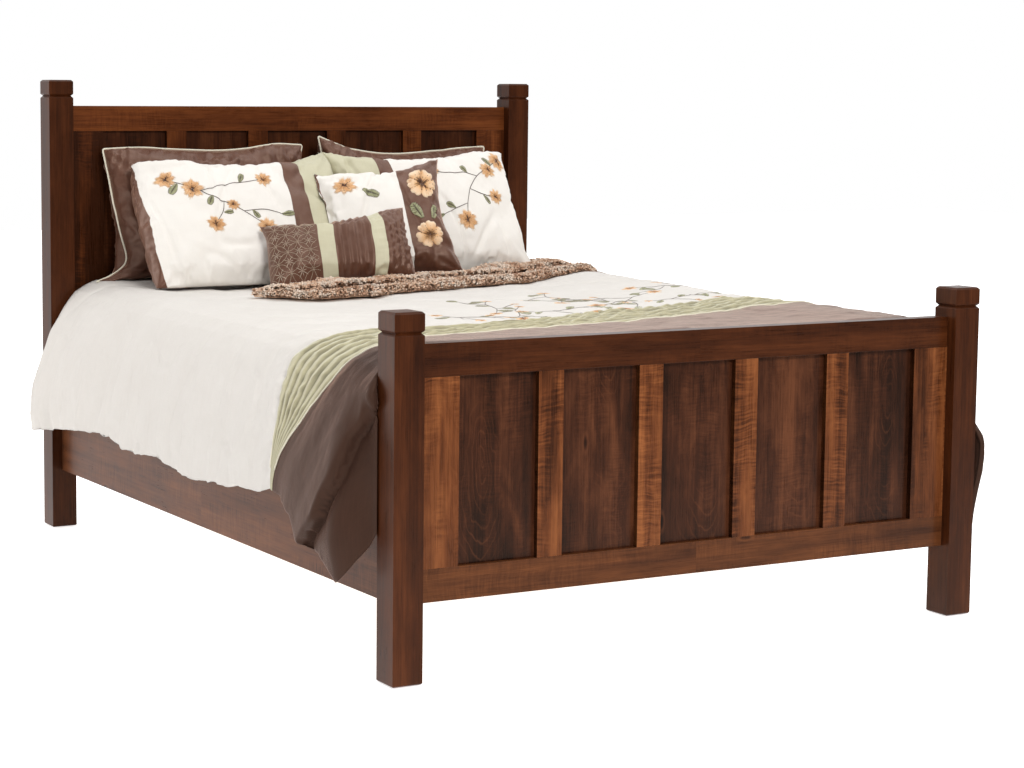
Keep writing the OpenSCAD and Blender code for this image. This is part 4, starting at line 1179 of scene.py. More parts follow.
def comforter(mats):
    NS, NT = 84, 200                                   # columns on each side and over the top
    NR = (140, 108, 76, 12)                            # rows: cream, sage, brown, tucked end
    ncol = 2 * NS + NT + 1
    rows = [(k, a) for k, n in enumerate(NR) for a in np.linspace(0, 1, n + 1)[:(n + 1 if k == 3 else n)]]
    kind = [kk for k, n in enumerate(NR) for kk in [(0, 1, 2, 2)[k]] * n]
    nr = len(rows)
    P = np.zeros((nr, ncol, 3))
    y_head = 1.022
    xs_top = np.linspace(-TOP_HALF, TOP_HALF, NT + 1)
    tt = np.arange(1, NS + 1) / NS
    # flat coordinates of the cut, for the weave and the stitching
    ucoord = np.concatenate([np.linspace(0, 0.52, NS + 1)[:-1], 0.52 + np.linspace(0, 1.4, NT + 1), 1.92 + np.linspace(0, 0.52, NS + 1)[1:]])
    vcoord = np.array([(0, 1.62, 1.87, 2.03)[k] + a * (1.62, 0.25, 0.16, 0.30)[k] for k, a in rows])

    def side_columns(s1, s2, hem, ends):
        """(y, arc) of the side columns for every row."""
        out = np.zeros((nr, NS, 2))
        H = np.array(sorted(hem), float) / 1000
        f1 = lambda z: smooth_curve([(p[0], p[1] / 1000) for p in s1], z * 1000)
        f2 = lambda z: smooth_curve([(p[0], p[1] / 1000) for p in s2], z * 1000)
        foot = ends[2]
        f3 = lambda z: -1.034 + (foot + 1.034) * sstep(ends[0], ends[1], z)
        hem1, hem2 = -0.636, -0.648
        for r, (k, a) in enumerate(rows):
            if k == 0:
                ya, yb, yh = (lambda z: y_head + 0 * z), f1, y_head + (hem1 - y_head) * a
            elif k == 1:
                ya, yb, yh = f1, f2, hem1 + (hem2 - hem1) * a
            else:
                q = a if k == 2 else 1.0
                ya, yb, yh = f2, f3, hem2 + (foot - hem2) * q
                a = q
            L = arc_of_z(np.interp(yh, H[:, 0], H[:, 1]))
            arc = tt * L
            _, zz = side_point(arc)
            zb = np.maximum(zz, 0.372)
            y0, y1 = ya(zb), yb(zb)
            yy = y0 + (y1 - y0) * a
            w = sstep(0.55, 1.0, tt) * (0.5 + 0.5 * min(1.0, a / 0.5) if k >= 2 else 0.5)
            out[r, :, 0], out[r, :, 1] = yy * (1 - w) + yh * w, arc
        return out

    left = side_columns(L_SEAM1, L_SEAM2, HEM, (0.690, 0.600, -1.046))
    right = side_columns(R_SEAM1, R_SEAM2, R_HEM, (0.520, 0.430, -1.092))
    for r, (k, a) in enumerate(rows):
        x = xs_top
        s1 = smooth_curve([(p[0], p[1] / 1000) for p in T_SEAM1], x * 1000)
        s2 = smooth_curve([(p[0], p[1] / 1000) for p in T_SEAM2], x * 1000)
        if k == 0:
            y = y_head + (s1 - y_head) * a
        elif k == 1:
            y = s1 + (s2 - s1) * a
        elif k == 2:
            y = s2 + (-1.018 - s2) * a
        else:
            y = np.full_like(x, -1.018)
        z = top_height(x, y) - 0.010 * sstep(-0.985, -1.022, y)       # rounded over the foot end of the mattress
        deep = max(0.0, a - 1 / 6) / (5 / 6) if k == 3 else 0.0
        if k == 3:
            ang = min(1.0, a * 6) * math.pi / 2
            y = -1.018 - 0.016 * math.sin(ang) + 0 * x
            z = z - 0.016 * (1 - math.cos(ang)) - deep * 0.285
        P[r, NS:NS + NT + 1] = np.stack([x, y, z], -1)
        for sgn, S in ((-1, left), (1, right)):
            yy, arc = S[r, :, 0], S[r, :, 1]
            xx, zz = side_point(arc, yy)
            # at the foot end the edge turns in to lie against the post
            if sgn < 0:
                xx = np.where(xx > 0.844, xx + (0.844 - xx) * sstep(-0.955, -1.046, yy), xx)
            else:
                xx = xx - 0.034 * sstep(-1.00, -1.085, yy) * sstep(0.50, 0.24, zz)
            join = 1 - sstep(0.0, 0.16, tt)
            zz = zz + (top_height(sgn * np.minimum(xx, 0.74), yy) - 0.7460) * join
            if k == 3:
                # behind the post the end goes down; beside the post it is a plain rounded edge
                zz = zz - 0.285 * deep * (1 - sstep(0.02, 0.22, tt))
                xx = xx - (0.004 * a + 0.012 * a * a) * sstep(0.10, 0.25, tt)
                yy = yy - 0.003 * math.sin(a * math.pi) * sstep(0.10, 0.25, tt)
            col = np.stack([sgn * xx, yy, zz], -1)
            if sgn < 0:
                P[r, :NS] = col[::-1]
            else:
                P[r, NS + NT + 1:] = col

    def normals(P):
        n = np.cross(np.gradient(P, axis=1), -np.gradient(P, axis=0))
        return n / np.maximum(np.linalg.norm(n, axis=2, keepdims=True), 1e-12)
    nrm = normals(P)
    last = sum(NR[:3])
    nrm[last + 1:, :] = nrm[last - 1] * 0.5 + nrm[last + 1:, :] * 0.5
    X, Y, Z = P[..., 0], P[..., 1], P[..., 2]
    tcol = np.concatenate([np.arange(NS, 0, -1) / NS, np.zeros(NT + 1), np.arange(1, NS + 1) / NS])[None, :]
    side, low = sstep(0.05, 0.45, tcol), sstep(0.3, 1.0, tcol)
    rk = np.array([k for k, _ in rows])[:, None]
    ra = np.array([a for _, a in rows])[:, None]
    U, V = np.broadcast_arrays(ucoord[None, :], vcoord[:, None])
    sg = np.where(X > 0, 1, 0)
    tail = 1 - sstep(0.2, 1.0, ra) * (rk == 3)
    # hanging folds, stronger towards the hem, that start as faint ripples over the edge
    wav = Y + 0.05 * vnoise(Y / 0.3, Z / 0.25, 36) + 0.10 * (Z - 0.5)
    broad = side * (0.0115 * low + 0.0030) * fbm(wav / 0.125 + 40 * sg, 0.35 * Z / 0.3, 21, 2) * (rk == 0)
    broad = broad + side * 0.0045 * fbm(Y / 0.34, Z / 0.20, 32, 2) * (rk <= 1)
    bro = (rk >= 2)
    fan = Y + 0.62 * Z
    quiet = np.where(sg == 0, 1 - sstep(-1.012, -1.044, Y) * sstep(0.66, 0.58, Z), 1.0)       # still where it meets the post
    broad = broad + bro * side * 0.0050 * fbm(fan / 0.17 + 3 * sg, (Z - 0.6 * Y) / 0.4, 61, 3) * tail
    cd = crease_distance(Y, Z)
    e = np.clip(cd / 0.016, 0, 1)
    bulge = 0.030 * np.sqrt(np.clip(1 - (1 - e) ** 2, 0, 1)) * np.exp(-np.clip(cd, 0, 9) / 0.17) * (cd > 0)
    dip = -0.013 * np.exp(-np.clip(-cd, 0, 9) / 0.024) * (cd <= 0)
    broad = broad + bro * sstep(0.12, 0.30, tcol) * (bulge + dip) * tail
    broad = broad + bro * side * 0.015 * np.exp(-(((Y + 0.95) / 0.10) ** 2 + ((Z - 0.32) / 0.10) ** 2))
    broad = broad * quiet * np.where(rk == 2, sstep(0.0, 0.30, ra), 1.0)
    broad = broad + (rk == 2) * (1 - sstep(0.0, 0.30, ra)) * side * quiet * 0.0045 * fbm(Y / 0.34, Z / 0.20, 32, 2)   # meets the sage band
    P1 = P + nrm * broad[..., None]
    d = side * (0.0024 + 0.0050 * low) * fbm(wav / 0.045 + 9 * sg, Z / 0.30, 23, 3) * (rk == 0)
    n = vnoise((Y + 0.35 * Z) / 0.11 + 3 * sg, (Z - 0.3 * Y) / 0.22, 45)
    d = d - 0.0030 * side * np.exp(-(n / 0.12) ** 2) * (rk == 0)
    # soft tension folds over the top, towards the edges and the pillows
    d = d + (1 - side) * 0.0050 * fbm((X + 0.6 * Y) / 0.13, (Y - 0.4 * X) / 0.40, 41, 3) * (rk == 0)
    n = vnoise((Y + 0.5 * X) / 0.20, (X - 0.3 * Y) / 0.45, 43)
    d = d - 0.0042 * np.exp(-(n / 0.12) ** 2) * (rk == 0) * (1 - 0.5 * side)
    d = d + bro * (1 - side) * 0.0035 * fbm(X / 0.10, Y / 0.05, 63, 3)
    n = vnoise((Y + 0.7 * Z) / 0.085 + 5 * sg, (Z - 0.7 * Y) / 0.35, 67)
    d = d - bro * side * 0.0024 * np.exp(-(n / 0.14) ** 2) * tail
    d = d + bro * side * 0.0016 * fbm((Y + 0.4 * Z) / 0.030 + sg, (Z - 0.4 * Y) / 0.055, 69, 3) * tail
    # puckers along the hem
    near = np.exp(-((1 - tcol) / 0.045) ** 1.3)
    d = d + near * 0.0030 * (vnoise(Y / 0.013, 0 * Y, 51) + 0.5 * vnoise(Y / 0.03, 0 * Y, 53)) * tail
    # gathers on both sides of the first seam
    for kk, a0, span, amp, reach in ((0, 1.0, 1.62, 0.0046, 0.090), (1, 0.0, 0.25, 0.0030, 0.055)):
        dist = np.abs(ra - a0) * span
        d = d + (rk == kk) * amp * (vnoise((U + 0.5 * dist) / 0.019, dist / 0.06, 55) + 0.6 * vnoise((U - 0.4 * dist) / 0.040, dist / 0.10, 57)) * np.exp(-dist / reach)
    dist = ra * 0.16
    d = d + (rk == 2) * 0.0014 * vnoise(U / 0.018, dist / 0.05, 58) * np.exp(-dist / 0.025)
    # sage band: seven pintucks, pulled into small crinkles between the rows
    ph = ra * 7
    row = np.floor(np.clip(ph, 0, 6.999))
    fr = ph - row
    tuck = sstep(0.0, 0.20, 1 - fr) * (1 - 0.80 * (1 - fr) ** 1.3)
    first, last1 = NR[0], NR[0] + NR[1]
    room = np.clip(np.linalg.norm(P[last1] - P[first], axis=1) / 0.16, 0.0, 1.0)[None, :]      # less where the band narrows to the hem
    d = d + (rk == 1) * room * (0.0070 * (tuck - 0.50) - 0.0022 * np.exp(-(fr / 0.14) ** 2) + tuck * (0.0032 * vnoise(U / 0.020 + 7.3 * row, row * 3.7, 71) + 0.0024 * vnoise(U / 0.048 + 2.9 * row, row, 73)))
    # seams pull the cloth down a little
    for kk, aa, span in ((0, 1.0, 1.6), (1, 0.0, 0.25), (1, 1.0, 0.25), (2, 0.0, 0.2)):
        d = d - (rk == kk) * 0.0036 * np.exp(-np.abs(ra - aa) * span / 0.009)
    # small cotton wrinkles everywhere
    d = d + 0.0013 * fbm(U / 0.032, V / 0.04, 81, 3) * tail
    d = d * quiet * np.where(rk == 0, 1.0, np.maximum(room, 0.25 * (rk != 1)))
    P = P1 + nrm * d[..., None]
    P[..., 2] += sstep(0.80, 1.0, tcol) * (0.0050 * vnoise(Y / 0.055, 0 * Y, 91) + 0.0022 * vnoise(Y / 0.021, 0 * Y, 93)) * (rk <= 2)

    def off_posts(A, y_lim):
        inside = (np.abs(A[..., 0]) < 0.8415) & (A[..., 1] < y_lim)
        A[..., 1] = np.where(inside, y_lim, A[..., 1])
        return A
    P = off_posts(P, -1.0375)
    # the underside: a coarser grid, one thickness in
    q = 4
    thick = 0.0160 * np.minimum(1, (1 - tcol) / 0.03 + 0.35) * np.ones((nr, 1))
    thick[:4] *= np.array([0.35, 0.55, 0.75, 0.9])[:, None]
    thick = thick * (1 - 0.6 * (rk == 3) * ra * sstep(0.10, 0.25, tcol))
    Q = off_posts((P1 - nrm * thick[..., None])[::q, ::q].copy(), -1.0340)
    qr, qc = Q.shape[:2]
    nc = P.shape[1]
    co = np.concatenate([P.reshape(-1, 3), Q.reshape(-1, 3)])
    uv = np.stack([U, V], -1)
    uv = np.concatenate([uv.reshape(-1, 2), uv[::q, ::q].reshape(-1, 2)])
    A = np.arange(nr * nc).reshape(nr, nc)
    B = nr * nc + np.arange(qr * qc).reshape(qr, qc)
    top = np.stack([A[:-1, :-1], A[1:, :-1], A[1:, 1:], A[:-1, 1:]], -1)
    faces = top.reshape(-1, 4).tolist()
    fm = np.repeat(np.array(kind)[:, None], nc - 1, 1)
    # the brown rows over the top take material 4, the lighter copy with a painted sheen
    fm[:, NS:NS + NT] = np.where(fm[:, NS:NS + NT] == 2, 4, fm[:, NS:NS + NT])
    fm = fm.ravel().tolist()
    under = np.stack([B[:-1, :-1], B[:-1, 1:], B[1:, 1:], B[1:, :-1]], -1)
    faces += under.reshape(-1, 4).tolist()
    kq = [2 if r * q >= sum(NR[:2]) - 4 else 3 for r in range(qr - 1)]
    fm += np.repeat(np.array(kq), qc - 1).tolist()

    def rim(dense, coarse, kinds, flip):
        for i in range(len(coarse) - 1):
            f = [int(v) for v in dense[i * q:i * q + q + 1]] + [int(coarse[i + 1]), int(coarse[i])]
            faces.append(f[::-1] if flip else f)
            fm.append(kinds[min(i * q, len(kinds) - 1)])
    rim(A[:, 0], B[:, 0], kind, True)
    rim(A[:, -1], B[:, -1], kind, False)
    rim(A[0], B[0], [kind[0]] * nc, False)
    rim(A[-1], B[-1], [kind[-1]] * nc, True)
    o = mesh_object("comforter_quilt", co, faces, mats, fm, uv=uv)
    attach(o, ROOT)
    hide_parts("comforter")
    return o, P, (NR[0], NR[0] + NR[1]), Surf(ucoord, vcoord, P), tcol[0]


def comforter_trim(P, cut, tcol, mats):
    """Narrow piping on the two seams of the sage band."""
    nrm = np.cross(np.gradient(P, axis=1), -np.gradient(P, axis=0))
    nrm /= np.maximum(np.linalg.norm(nrm, axis=2, keepdims=True), 1e-12)
    keep = tcol < 0.90
    out = []
    for name, r, rad in (("seam_piping_cream", cut[0], 0.0014), ("seam_piping_brown", cut[1], 0.0022)):
        L = P[r] + nrm[r] * 0.0016
        L = (np.roll(L, 1, 0) + L + np.roll(L, -1, 0)) / 3
        out.append(tube("comforter_" + name, L[keep], rad, mats["piping"], sides=6, closed=False))
    for o in out:
        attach(o, ROOT)
    return out


# ---------------------------------------------------------------- mattress and box spring
# how far each pillow's outline is from a plain one: (place along the edge, right, up) in mm, from the lower left corner
OUTLINES = {
    "bl": dict(top=[(0, 25, -13), (.125, 15, 6), (.25, 11, 15), (.375, 2, 11), (.5, -3, 7), (.625, -4, 4), (.75, -4, 10), (.875, -9, 7), (1, -17, -18)],
               left=[(0, -31, 1), (.125, 12, 7), (.25, 50, -21), (.375, 34, -19), (.5, 21, -14), (.625, 13, -12), (.75, 14, -11), (.875, 17, -15), (1, 25, -13)],
               right=[(0, 0, 0), (.7, -6, 0), (1, -17, -18)], bottom=[(0, -31, 1), (.12, 0, 0), (1, 0, 0)], back=0.25),
    "br": dict(top=[(0, 20, -13), (.125, 7, -17), (.25, -5, -20), (.375, -12, -24), (.5, -17, -20), (.625, -20, -9), (.75, -23, 0), (.875, -30, 0), (1, -30, -5)],
               left=[(0, 0, 0), (1, 20, -13)], right=[(0, -8, 0), (1, -30, -5)], bottom=[(0, 0, 0), (1, -8, 0)]),
    "fl": dict(top=[(0, 21, -11), (.125, 11, 13), (.25, 1, 19), (.375, -11, 16), (.5, -12, 10), (.625, -21, 10), (.75, -28, 6), (.875, -34, 18), (1, -39, 35)],
               left=[(0, 16, -10), (.125, 0, 8), (.25, -18, 8), (.375, -23, 7), (.5, -26, 1), (.625, -24, -7), (.75, -19, -8), (.875, 0, -7), (1, 21, -11)],
               right=[(0, 0, -6), (.7, 2, 10), (.85, -3, 25), (.925, -12, 32), (1, -39, 35)], bottom=[(0, 16, -10), (.275, 5, -20), (.55, -6, -20), (.8, 0, -12), (1, 0, -6)]),
    "fr": dict(top=[(0, 12, 15), (.125, -1, 13), (.25, -7, 11), (.375, -12, 7), (.5, -14, 9), (.625, -9, 13), (.75, -9, 20), (.875, -3, 21), (1, -7, -1)],
               left=[(0, 0, 0), (1, 12, 15)], right=[(0, -10, 0), (.25, -5, 0), (.5, 0, 4), (.75, 0, 6), (1, -7, -1)], bottom=[(0, 0, 0), (1, -10, 0)]),
    "sq": dict(top=[(0, -5, -11), (.125, -4, -3), (.25, -5, 2), (.375, -11, 6), (.5, -8, 3), (.625, -10, -7), (.75, -9, -1), (.875, -14, 5), (1, -12, 6)],
               left=[(0, -20, 8), (.4, -27, 10), (.55, -27, 1), (.7, -24, 4), (.85, -23, -9), (1, -5, -11)],
               right=[(0, -15, 14), (.125, -15, 18), (.25, -19, 14), (.375, -21, 12), (.5, -20, 6), (.625, -18, 6), (.75, -15, 8), (.875, -15, 10), (1, -12, 6)],
               bottom=[(0, -20, 8), (1, -15, 14)]),
    "ob": dict(top=[(0, -4, -20), (.125, -6, -14), (.25, -7, -13), (.375, -7, -18), (.5, -4, -17), (.625, -4, -14), (.75, -6, -11), (.875, -9, -3), (1, -19, -12)],
               bottom=[(0, -2, -4), (.125, -4, 7), (.25, -8, 7), (.375, -12, 8), (.5, -15, 4), (.625, -21, -3), (.75, -18, -7), (.875, -20, 4), (1, -22, 12)],
               left=[(0, -2, -4), (.125, -5, 10), (.25, -9, 11), (.375, -10, 7), (.5, -11, 3), (.625, -9, -1), (.75, -4, -5), (.875, -4, -15), (1, -4, -20)],
               right=[(0, -22, 12), (.125, -15, 12), (.25, -9, 8), (.375, -7, 2), (.5, -8, -3), (.625, -9, -9), (.75, -10, -12), (.875, -15, -13), (1, -19, -12)]),
}


def rounded_block(name, node, w, l, z0, z1, r, mats, puff, quilt, taper=0.018):
    """A mattress or box spring: rounded corners, soft sides, tape edges and a quilted top."""
    nper = 40
    path = []
    hw, hl = w / 2 - r, l / 2 - r
    cy = 0.010
    for q, (sx, sy) in enumerate(((1, -1), (1, 1), (-1, 1), (-1, -1))):
        for k in range(13):
            a = -math.pi / 2 + q * math.pi / 2 + k / 12 * math.pi / 2
            path.append((sx * hw + r * math.cos(a), sy * hl + r * math.sin(a)))
    pts = []
    for a, b in zip(path, path[1:] + path[:1]):
        d = math.hypot(b[0] - a[0], b[1] - a[1])
        n = max(1, int(d / 0.03))
        pts += [(a[0] + (b[0] - a[0]) * k / n, a[1] + (b[1] - a[1]) * k / n) for k in range(n)]
    pts = np.array(pts)
    n = len(pts)
    prof = [(0.0, 0.030, -1), (0.0, 0.012, 0), (0.004, 0.004, 0), (0.012, 0.0, 0)]
    zs = np.linspace(0, 1, 13)
    rings = []
    height = z1 - z0
    tang = np.roll(pts, -1, 0) - np.roll(pts, 1, 0)
    nor = np.stack([tang[:, 1], -tang[:, 0]], -1)
    nor /= np.linalg.norm(nor, axis=1, keepdims=True)
    s = np.cumsum(np.linalg.norm(np.diff(pts, axis=0, append=pts[:1]), axis=1))
    for k, f in enumerate(np.linspace(0, 1, 15)):
        inset = 0.004 + 0.010 * (abs(2 * f - 1) ** 8)
        belly = puff * math.sin(math.pi * f)
        wave = 0.0025 * np.sin(s / 0.13 * math.pi) ** 2 * math.sin(math.pi * f)
        ring = pts + nor * (belly - inset + wave)[:, None] if np.ndim(wave) else pts + nor * (belly - inset)
        rings.append(np.column_stack([ring[:, 0], ring[:, 1] + cy, np.full(n, z0 + 0.004 + f * (height - 0.008))]))
    co = np.concatenate(rings)
    faces = []
    R = len(rings)
    for k in range(R - 1):
        for i in range(n):
            j = (i + 1) % n
            faces.append([k * n + i, k * n + j, (k + 1) * n + j, (k + 1) * n + i])
    fm = [0] * len(faces)
    # top and bottom: concentric rings to the middle with quilted dimples
    for top in (True, False):
        base = (R - 1) * n if top else 0
        prev = base
        for f in (0.985, 0.965, 0.94, 0.90, 0.85, 0.78, 0.70, 0.6, 0.5, 0.4, 0.3, 0.2, 0.1):
            ring = pts * f
            edge = sstep(1.0, 0.93, f)
            zt = (z1 + 0.006 * edge) if top else (z0 + 0.001)
            dim = quilt * edge * (np.cos(ring[:, 0] / 0.11 * math.pi) * np.cos(ring[:, 1] / 0.11 * math.pi)) if top else 0 * ring[:, 0]
            start = len(co)
            co = np.concatenate([co, np.column_stack([ring[:, 0], ring[:, 1] + cy, zt + dim])])
            for i in range(n):
                j = (i + 1) % n
                q = [prev + i, prev + j, start + j, start + i]
                faces.append(q if top else q[::-1])
                fm.append(1 if top else 0)
            prev = start
        co = np.concatenate([co, [[0, cy, (z1 + 0.006) if top else z0 + 0.001]]])
        c = len(co) - 1
        for i in range(n):
            j = (i + 1) % n
            faces.append([prev + i, prev + j, c] if top else [prev + j, prev + i, c])
            fm.append(1 if top else 0)
    uv = np.column_stack([co[:, 0] + co[:, 2] * 0.5, co[:, 1] + co[:, 2] * 0.5])
    o = mesh_object(name, co, faces, mats[:2], fm, uv=uv)
    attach(o, ROOT)
    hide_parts(node)
    for tag, z in (("low", z0 + 0.014), ("high", z1 - 0.012)):
        t = tube(f"{name}_tape_{tag}", np.column_stack([pts + nor * -0.0005, np.full(n, z)]) + np.array([0, cy, 0]), 0.0065, mats[2], sides=8)
        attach(t, ROOT)
    return o


# ---------------------------------------------------------------- fur throw
THROW_FRONT = [(-528, 262), (-505, 228), (-468, 176), (-404, 122), (-315, 106), (-200, 138), (-113, 180), (0, 215), (126, 255), (276, 312), (393, 333),
               (520, 388), (640, 436), (740, 472), (800, 492), (838, 505)]
THROW_DEPTH = [(-528, 25), (-490, 70), (-420, 150), (-300, 185), (-150, 185), (0, 180), (150, 185), (300, 208), (450, 240), (600, 256), (740, 235), (800, 170), (838, 70)]


def fur_throw(mat):
    """A throw folded into a long band and laid across the bed: one sheet, folded over itself four times."""
    F = np.array(THROW_FRONT, float) / 1000
    D = np.array(THROW_DEPTH, float) / 1000
    n = 210
    xs = np.linspace(F[0, 0], F[-1, 0], 600)
    ys = np.interp(xs, F[:, 0], F[:, 1])
    k3 = np.array([0.25, 0.5, 0.25])
    for _ in range(120):
        ys[1:-1] = np.convolve(ys, k3, "valid")
    arc = np.concatenate([[0], np.cumsum(np.hypot(np.diff(xs), np.diff(ys)))])
    t = np.linspace(0, arc[-1], n)
    cx, cy = np.interp(t, arc, xs), np.interp(t, arc, ys)
    depth = np.interp(cx, D[:, 0], D[:, 1])
    T = np.stack([np.gradient(cx), np.gradient(cy)], -1)
    T /= np.linalg.norm(T, axis=1, keepdims=True)
    Nn = np.stack([-T[:, 1], T[:, 0]], -1)
    Nn = Nn * 0.5 + np.array([0.0, 0.5])
    # section as (place across from 0, the front edge, to 1, the back edge; height in mm)
    legs = [(0.00, 0.97, 4), (0.97, 0.07, 10), (0.07, 1.00, 16), (1.00, 0.46, 27)]
    sec = []
    for q, (a, b, z) in enumerate(legs):
        m = 40
        for i in range(m):
            sec.append((a + (b - a) * i / (m - 1), z, q, 0.0))
        if q < len(legs) - 1:
            z2 = legs[q + 1][2]
            sgn = np.sign(b - a)
            for i in range(1, 7):
                an = -math.pi / 2 + math.pi * i / 7
                sec.append((b, (z + z2) / 2 + (z2 - z) / 2 * math.sin(an), q + 0.5, sgn * (z2 - z) / 2000 * math.cos(an) * 1.3))
    sec = np.array(sec)
    m = len(sec)
    ends = sstep(0, 0.10, t) * sstep(0, 0.07, arc[-1] - t)
    co = np.zeros((n, m, 3))
    for i in range(n):
        # each fold wanders a little along the band
        shift = np.array([0.0, 0.030 * vnoise(t[i] / 0.17, 0.5, 121), 0.034 * vnoise(t[i] / 0.14, 1.5, 122), 0.05 * vnoise(t[i] / 0.20, 2.5, 123)])
        wander = np.interp(sec[:, 2], [0, 1, 2, 3], shift) * (0.35 + 0.65 * (1 - np.abs(2 * sec[:, 0] - 1)))
        x = sec[:, 0] * depth[i] + sec[:, 3] + wander * ends[i]
        frac = np.clip(x / depth[i], 0, 1)
        puff = 1 + 0.22 * vnoise(t[i] / 0.16 + 0 * frac, frac * 2.0, 125)
        z = sec[:, 1] / 1000 * (0.40 + 0.60 * ends[i]) * puff
        # it rises against the pillows at its back
        z = z + (0.001 + 0.016 * sstep(0.30, 0.60, cx[i])) * frac ** 2 * ends[i] * np.clip(sec[:, 1] / 28, 0.2, 1)
        z = z + 0.0030 * vnoise(t[i] / 0.05 + 0 * x, x / 0.04 + sec[:, 2] * 3, 127)
        co[i, :, 0] = cx[i] + Nn[i, 0] * x
        co[i, :, 1] = cy[i] + Nn[i, 1] * x
        co[i, :, 2] = z
    ss = np.concatenate([[0], np.cumsum(np.linalg.norm(np.diff(co, axis=1), axis=2).mean(0))])
    # it lies on the top and then down over the rounded edge
    bx, by = co[..., 0], co[..., 1]
    w = sstep(0.50, 1.0, by)
    edge = np.interp(bx, SIDE[:, 0], SIDE[:, 1]) * (1 - w) + np.interp(bx, SIDE_HEAD[:, 0], SIDE_HEAD[:, 1]) * w
    base = np.where(bx <= TOP_HALF, top_height(bx, by), edge + (top_height(np.minimum(bx, 0.74), by) - 0.746) * (1 - sstep(0.70, 0.775, bx)))
    co[..., 2] = base + np.maximum(co[..., 2], 0.0055)
    nn = np.cross(np.gradient(co, axis=0), np.gradient(co, axis=1))
    nn /= np.maximum(np.linalg.norm(nn, axis=2, keepdims=True), 1e-9)
    U, V = np.meshgrid(t, ss, indexing="ij")
    curl = fbm(U / 0.020 + 0.4 * vnoise(U / 0.03, V / 0.03, 131), V / 0.020, 133, 3)
    pile = 0.0042 + 0.0026 * curl + 0.0010 * vnoise(U / 0.006, V / 0.006, 135)
    pile = pile * np.clip(0.25 + 0.75 * np.minimum(np.arange(m), m - 1 - np.arange(m)) / 5, 0.25, 1)[None, :]      # thin along the cut edges
    A, B = co + nn * pile[..., None], co - nn * pile[..., None]
    # shade gathers in front of each lower fold
    row_x = np.linalg.norm(co[..., :2] - np.stack([cx, cy], -1)[:, None], axis=2)
    turn = row_x[:, (sec[:, 2] == 1.5)].min(1)[:, None]
    last = row_x[:, -1][:, None]
    dark = np.exp(-(np.clip(turn - row_x, 0, 1) / 0.011) ** 2) * (sec[:, 2] == 0)[None, :] * (row_x < turn + 0.004)
    dark = dark + np.exp(-(np.clip(last - row_x, 0, 1) / 0.012) ** 2) * (sec[:, 2] == 2)[None, :] * (row_x < last + 0.004)
    dark = np.clip(dark, 0, 1)
    shade = np.clip(0.46 + 0.70 * curl, 0, 1) * (1 - 0.85 * dark)
    allco = np.concatenate([A.reshape(-1, 3), B.reshape(-1, 3)])

    def on_bed(c):
        c[:, 2] = np.maximum(c[:, 2], top_height(c[:, 0], c[:, 1]) - 0.012 * sstep(0.74, 0.82, c[:, 0]) + 0.0012)
        return c
    allco = on_bed(allco)
    I = np.arange(n * m).reshape(n, m)
    off = n * m
    fa = np.stack([I[:-1, :-1], I[1:, :-1], I[1:, 1:], I[:-1, 1:]], -1).reshape(-1, 4)
    faces = fa.tolist() + (off + fa[:, ::-1]).tolist()
    for a in range(n - 1):
        faces.append([int(I[a, 0]), off + int(I[a, 0]), off + int(I[a + 1, 0]), int(I[a + 1, 0])])
        faces.append([int(I[a, -1]), int(I[a + 1, -1]), off + int(I[a + 1, -1]), off + int(I[a, -1])])
    for b in range(m - 1):
        faces.append([int(I[0, b]), int(I[0, b + 1]), off + int(I[0, b + 1]), off + int(I[0, b])])
        faces.append([int(I[-1, b]), off + int(I[-1, b]), off + int(I[-1, b + 1]), int(I[-1, b + 1])])
    o = mesh_object("throw_sheet", allco, faces, [mat], attr={"shade": np.concatenate([shade.ravel(), shade.ravel()]) * 0.75})
    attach(o, ROOT)
    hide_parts("fur_throw")
    # curls of pile on the outside: the top layer, the fold edges and the front of each lower layer
    rng = np.random.default_rng(11)
    want = 26000
    ia = rng.integers(0, n - 1, want * 3)
    ib = rng.integers(0, m - 1, want * 3)
    q = sec[ib, 2]
    xf = sec[ib, 0]
    openly = (q >= 2.9) | ((q % 1) > 0) | ((q == 1) & (xf < 0.36)) | ((q == 2) & (xf < 0.50)) | ((q == 0) & (xf < 0.22))
    pick = np.nonzero(openly)[0][:want]
    ia, ib = ia[pick], ib[pick]
    # and along the cut edges, where it hides the backing
    edge_n = 3600
    ia = np.concatenate([ia, rng.integers(0, n - 1, edge_n)])
    ib = np.concatenate([ib, np.where(rng.random(edge_n) < 0.7, rng.integers(0, 3, edge_n), m - 2 - rng.integers(0, 3, edge_n))])
    f1, f2 = rng.random(len(ia)), rng.random(len(ia))
    side = np.where((sec[ib, 2] == 3) | (sec[ib, 2] == 1), -1.0, 1.0)

    def sample(G):
        return (G[ia, ib] * (1 - f1)[:, None] + G[ia + 1, ib] * f1[:, None]) * (1 - f2)[:, None] + (G[ia, ib + 1] * (1 - f1)[:, None] + G[ia + 1, ib + 1] * f1[:, None]) * f2[:, None]
    nv = sample(nn)
    nv /= np.maximum(np.linalg.norm(nv, axis=1, keepdims=True), 1e-9)
